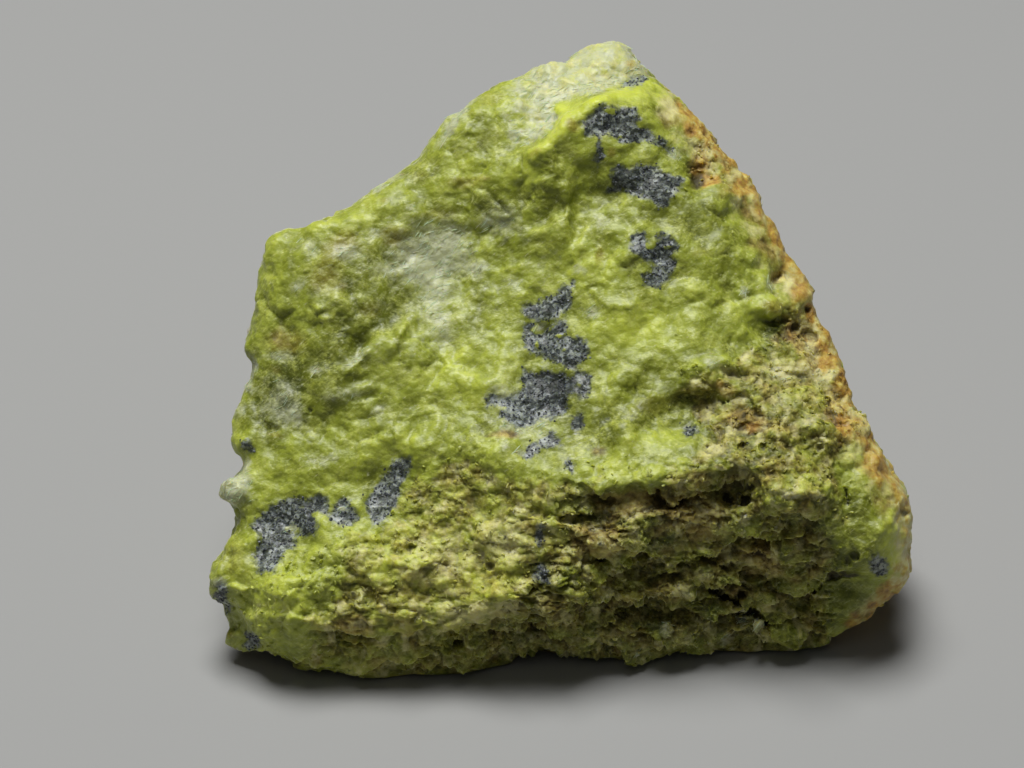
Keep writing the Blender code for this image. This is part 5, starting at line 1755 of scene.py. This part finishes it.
    def carve_front(self, mesh: bpy.types.Mesh, surface: Surface) -> Array:
        """Put in the small folds, ledges, cracks, lumps and pits of the front.

        Args:
            mesh: The skin's mesh.
            surface: Its points, which move.

        Returns:
            How deep each point lies in a crack or pit, in millimetres.
        """
        sheet, front, free = surface.sheet, surface.front, self.off_ground(surface)
        u, v = surface.strayed(*self.waver, Seed.RELIEF_STRAY)
        lift, cut = np.zeros(len(u)), np.zeros(len(u))
        for shape in (*STROKES, *LUMPS, *PITS):
            rise = shape.relief(u, v)
            lift += rise
            if shape.opens:
                cut = np.maximum(cut, -rise)
        sheet[:, 2] += lift * front * free
        beads = free * sum(bead.relief(u, v) for bead in EDGE_BEADS)
        surface.points = SHEET.stand_up(sheet) + surface.normals * beads[:, None]
        self.write(mesh, surface)
        return cut * front

    def roughen(self, mesh: bpy.types.Mesh, surface: Surface, paints: dict[str, Array]) -> Array:
        """Raise the waxy granules, the grainy pillows and the broken shards.

        Args:
            mesh: The skin's mesh.
            surface: Its points, which move.
            paints: The painted numbers so far.

        Returns:
            How high each point stands among its neighbours, from -1 to 1.
        """
        points = surface.points
        crumbly, grainy = paints["broken"], paints["grainy"]
        waxy = self.waxy_grains.height(points)
        waxy *= 0.3 + 0.7 * self.waxy_strength.share(points)
        waxy *= 1.0 - 0.8 * paints["lip"]
        crumbs = self.shards.height(surface.sheet)
        crumbs *= 0.65 + 0.5 * self.crumb_strength.share(points)
        pillows = self.crumb_grains.height(points)
        height = (1.0 - 0.7 * crumbly) * waxy + crumbly * crumbs + grainy * pillows
        ragged = 0.08 * swell(points, 0.7, Seed.FINE_ROUGHNESS, 2)
        ragged += 0.35 * swell(points, 2.4, Seed.BROAD_ROUGHNESS, 2)
        ore = smooth_step(paints["ore"], -0.1, 0.2)
        height = height * (1.0 - 0.5 * ore) + ragged - 0.12 * ore
        surface.points = points + surface.normals * (height * self.off_ground(surface))[:, None]
        self.write(mesh, surface)
        spread = 0.35 + 0.35 * crumbly + 0.2 * grainy
        return np.clip(height / spread, -1.0, 1.0)

    def sown(self, surface: Surface, paints: dict[str, Array]) -> dict[str, Array]:
        """How thickly each kind of small piece lies: clear of the solid's box, fibres most.

        Args:
            surface: The skin's points.
            paints: The painted numbers.

        Returns:
            A number from 0 to 1 for each kind and point.
        """
        low, high = np.array(CAD_BOX[0]) / MM, np.array(CAD_BOX[1]) / MM
        room = np.minimum(surface.points - low, high - surface.points).min(axis=1)
        clear = smooth_step(room, 0.6, 1.0)
        ore = smooth_step(paints["ore"], -0.15, 0.15)
        bare = (1.0 - ore) * clear
        front = surface.front
        crumbly = np.maximum(paints["broken"], 0.5 * paints["grainy"])
        silky = smooth_step(paints["frost"], 0.2, 0.8)
        return {
            "ore_share": ore * clear,
            "crumb_share": bare * crumbly * smooth_step(front, 0.9, 1.0),
            "fibre_share": bare * front * smooth_step(room, 1.2, 1.6) * silky,
        }


@dataclass
class Scatter:
    """Small pieces of one kind, strewn over the skin.

    Attributes:
        name: The piece's name.
        share: Name of the skin's number that says how thickly they lie.
        per_mm2: Most pieces on a square millimetre.
        size: Least and most size, in millimetres.
        shape: A piece's length, width and height, as shares of its size.
        seed: Fixes their shapes and where they lie.
        shapes: How many different ones there are.
        along: Direction that their length follows, if any.
        stray: How far they stray from it, as turns around their own axes in radians.
        corners: Least and most distance of a shape's corners from its middle, as shares.
    """

    name: str
    share: str
    per_mm2: float
    size: Range
    shape: Triple
    seed: int
    shapes: int = 5
    along: Triple | None = None
    stray: Triple = (0.0, 0.25, 0.5)
    corners: Range = (0.7, 1.15)

    def build(self, skin: bpy.types.Object, finish: bpy.types.Material) -> bpy.types.Object:
        """Strew the pieces over the skin.

        Args:
            skin: The stone's skin, in metres.
            finish: Their material. The skin's own one gives each the tone of where it lies.

        Returns:
            One object with all the pieces as a plain mesh.
        """
        kinds = bpy.data.collections.new(self.name + "_kinds")
        bpy.context.scene.collection.children.link(kinds)
        for index in range(self.shapes):
            kinds.objects.link(self.chip(index, finish))
        mesh = self.strewn(skin, {
            "Kinds": kinds, "Density": self.per_mm2 / MM ** 2, "Least": self.size[0] * MM,
            "Most": self.size[1] * MM, "Seed": self.seed, "Finish": finish,
        })
        for kind in list(kinds.objects):
            bpy.data.objects.remove(kind, do_unlink=True)
        bpy.data.collections.remove(kinds)
        for name in [layer.name for layer in mesh.attributes]:
            if name.endswith("_share") or name == "id":
                mesh.attributes.remove(mesh.attributes[name])
        piece = bpy.data.objects.new(self.name, mesh)
        bpy.context.scene.collection.objects.link(piece)
        return piece

    def strewn(self, skin: bpy.types.Object, settings: dict[str, object]) -> bpy.types.Mesh:
        """Run the node tree over the skin.

        Args:
            skin: The stone's skin.
            settings: Values of the tree's inputs, by name.

        Returns:
            The pieces alone, as a plain mesh.
        """
        carrier = bpy.data.objects.new(self.name + "_carrier", skin.data)
        bpy.context.scene.collection.objects.link(carrier)
        modifier = carrier.modifiers.new("strewn", "NODES")
        modifier.node_group = self.tree()
        for socket in modifier.node_group.interface.items_tree:
            if socket.name in settings:
                modifier[socket.identifier] = settings[socket.name]
        carrier.update_tag()
        seen = carrier.evaluated_get(bpy.context.evaluated_depsgraph_get())
        mesh = bpy.data.meshes.new_from_object(seen)
        mesh.name = self.name
        bpy.data.objects.remove(carrier, do_unlink=True)
        return mesh

    def chip(self, index: int, finish: bpy.types.Material) -> bpy.types.Object:
        """One small closed shape with uneven faces, of unit size.

        Args:
            index: Picks one of the shapes.
            finish: Its material.

        Returns:
            Its object.
        """
        form = bmesh.new()
        bmesh.ops.create_icosphere(form, subdivisions=1, radius=0.5)
        rng = np.random.default_rng(1000 * self.seed + index)
        for vert in form.verts:
            vert.co *= rng.uniform(*self.corners)
            vert.co = Vector(c * s for c, s in zip(vert.co, self.shape))
        mesh = bpy.data.meshes.new(f"{self.name}_{index}")
        mesh.materials.append(finish)
        form.to_mesh(mesh)
        form.free()
        return bpy.data.objects.new(mesh.name, mesh)

    def tree(self) -> bpy.types.NodeTree:
        """Make the node tree that strews, turns and sizes the pieces.

        Returns:
            The tree, with its inputs named as in build.
        """
        tree = bpy.data.node_groups.new(self.name + "_strewn", "GeometryNodeTree")
        for name, kind in (("Geometry", "Geometry"), ("Kinds", "Collection"),
                           ("Density", "Float"), ("Least", "Float"), ("Most", "Float"),
                           ("Seed", "Int"), ("Finish", "Material")):
            tree.interface.new_socket(name, in_out="INPUT", socket_type="NodeSocket" + kind)
        tree.interface.new_socket("Geometry", in_out="OUTPUT", socket_type="NodeSocketGeometry")
        given = tree.nodes.new("NodeGroupInput").outputs
        add = partial(add_node, tree)
        share = add("GeometryNodeInputNamedAttribute", {"Name": self.share}, data_type="FLOAT")
        density = add("ShaderNodeMath", {0: given["Density"], 1: share}, operation="MULTIPLY")
        points = add("GeometryNodeDistributePointsOnFaces", {
            "Mesh": given["Geometry"], "Density": density, "Seed": given["Seed"]}, "Points")
        turn = self.turned(tree, points.node.outputs["Normal"], given["Seed"])
        size = add("FunctionNodeRandomValue", {
            2: given["Least"], 3: given["Most"], "Seed": given["Seed"]}, 1, data_type="FLOAT")
        kinds = add("GeometryNodeCollectionInfo", {
            "Collection": given["Kinds"], "Separate Children": True, "Reset Children": True})
        strewn = add("GeometryNodeInstanceOnPoints", {
            "Points": points, "Instance": kinds, "Pick Instance": True, "Rotation": turn,
            "Scale": size})
        real = add("GeometryNodeRealizeInstances", {"Geometry": strewn})
        dressed = add("GeometryNodeSetMaterial", {"Geometry": real, "Material": given["Finish"]})
        add("NodeGroupOutput", {"Geometry": dressed})
        return tree

    def turned(self, tree: bpy.types.NodeTree, normal: Socket, seed: Socket) -> Socket:
        """How each piece is turned: along the direction over the skin, or any way.

        Args:
            tree: The node tree.
            normal: Which way the skin faces.
            seed: Picks the random turns.

        Returns:
            The rotation.
        """
        add = partial(add_node, tree)
        if not self.along:
            return add("FunctionNodeRandomValue", {
                0: (0.0, 0.0, 0.0), 1: (math.tau, math.tau, math.tau), "Seed": seed},
                data_type="FLOAT_VECTOR")
        upright = add("FunctionNodeAlignRotationToVector", {"Vector": normal}, axis="Z")
        turn = add("FunctionNodeAlignRotationToVector", {
            "Rotation": upright, "Vector": self.along}, axis="X", pivot_axis="Z")
        stray = add("FunctionNodeRandomValue", {
            0: tuple(-most for most in self.stray), 1: self.stray, "Seed": seed},
            data_type="FLOAT_VECTOR")
        return add("FunctionNodeRotateRotation", {"Rotation": turn, "Rotate By": stray},
                   rotation_space="LOCAL")


@dataclass(frozen=True)
class Softbox:
    """A square area lamp, aimed at the stone.

    Attributes:
        name: What it does.
        place: Where it hangs, in metres.
        width: Its width, in metres.
        watts: Its power.
        colour: Its colour, as an sRGB hex value.
        aim: The place that it shines at, in metres.
    """

    name: str
    place: Triple
    width: float
    watts: float
    colour: str
    aim: Triple = (0.0, 0.0, 0.02)

    def build(self) -> None:
        """Hang it up."""
        lamp = bpy.data.lights.new(self.name, "AREA")
        lamp.shape, lamp.size = "SQUARE", self.width
        lamp.energy, lamp.color = self.watts, linear(self.colour)[:3]
        holder = bpy.data.objects.new(self.name, lamp)
        holder.location = self.place
        sight = Vector(self.aim) - Vector(self.place)
        holder.rotation_euler = sight.to_track_quat("-Z", "Y").to_euler()
        bpy.context.scene.collection.objects.link(holder)


@dataclass
class Studio:
    """A plain pale floor, soft light and the camera that looks square at the sheet.

    Attributes:
        floor_size: Width of the floor, in metres.
        floor_colour: The floor's colour, as an sRGB hex value.
        lens: Focal length, in millimetres on a sensor of the given width.
        sensor: The sensor's width.
        clip: Nearest and furthest distance that the camera sees, in metres.
        sky_colour: The even sky's colour.
        sky_strength: How bright it is.
        lamps: The softboxes.
    """

    floor_size: float = 6.0
    floor_colour: str = "#9a9a98"
    lens: float = 100.0
    sensor: float = 36.0
    clip: Range = (0.01, 20.0)
    sky_colour: str = "#c9cfd6"
    sky_strength: float = 0.05
    lamps: tuple[Softbox, ...] = (
        Softbox("window_light", (-0.08, 0.09, 0.80), width=0.36, watts=7.9, colour="#ffffff"),
        Softbox("front_fill", (-0.10, -0.40, 0.70), width=0.4, watts=0.2, colour="#fbfaf4"),
    )

    def build(self) -> bpy.types.Object:
        """Set up the light, the camera and the floor.

        Returns:
            The floor.
        """
        for lamp in self.lamps:
            lamp.build()
        self.light_sky()
        self.set_camera()
        return self.floor()

    def floor(self) -> bpy.types.Object:
        """Lay the plain pale floor.

        Returns:
            Its object.
        """
        form = bmesh.new()
        bmesh.ops.create_grid(form, x_segments=1, y_segments=1, size=self.floor_size / 2.0)
        mesh = bpy.data.meshes.new("studio_floor")
        form.to_mesh(mesh)
        form.free()
        paint = Paint("matt_pale_floor")
        mesh.materials.append(paint.finish(linear(self.floor_colour), 0.9))
        floor = bpy.data.objects.new("studio_floor", mesh)
        bpy.context.scene.collection.objects.link(floor)
        return floor

    def light_sky(self) -> None:
        """Make the sky even and low."""
        world = bpy.data.worlds.new("studio_sky")
        world.use_nodes = True
        sky = world.node_tree.nodes["Background"].inputs
        sky["Color"].default_value = linear(self.sky_colour)
        sky["Strength"].default_value = self.sky_strength
        bpy.context.scene.world = world

    def set_camera(self) -> None:
        """Put the camera at the sheet's eye, and show colours as they are."""
        camera = bpy.data.cameras.new("camera")
        camera.lens, camera.sensor_width = self.lens, self.sensor
        camera.clip_start, camera.clip_end = self.clip
        holder = bpy.data.objects.new("camera", camera)
        turned = Matrix(np.column_stack(SHEET.axes).tolist()).to_4x4()
        turned.translation = Vector(SHEET.eye * MM)
        holder.matrix_world = turned
        bpy.context.scene.collection.objects.link(holder)
        bpy.context.scene.camera = holder
        bpy.context.scene.view_settings.view_transform = "Standard"


def main() -> None:
    """Build the stone's skin and what is strewn over it, and set up the studio."""
    logging.basicConfig(level=logging.INFO, format="%(message)s")
    skin = StoneSkin().build(bpy.data.objects[STONE_NODE])
    rock = skin.data.materials[0]
    scatters = (
        (Scatter("magnetite_grains", "ore_share", per_mm2=5.0, size=(0.16, 0.38),
                 shape=(1.0, 0.9, 0.6), seed=3), MagnetiteFinish().build()),
        (Scatter("weathered_crumbs", "crumb_share", per_mm2=2.0, size=(0.25, 0.8),
                 shape=(1.0, 0.7, 0.35), seed=5), rock),
        (Scatter("silky_fibres", "fibre_share", per_mm2=3.0, size=(0.6, 1.8),
                 shape=(1.0, 0.06, 0.05), along=(0.75, 0.2, 0.6), seed=9), SilkyFinish().build()),
    )
    pieces = [skin, *(scatter.build(skin, finish) for scatter, finish in scatters)]
    for piece in pieces:
        LOG.info("%s has %d faces", piece.name, len(piece.data.polygons))
        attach(piece, "root")
    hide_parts(STONE_NODE)
    Studio().build()


if __name__ == "__main__":
    main()
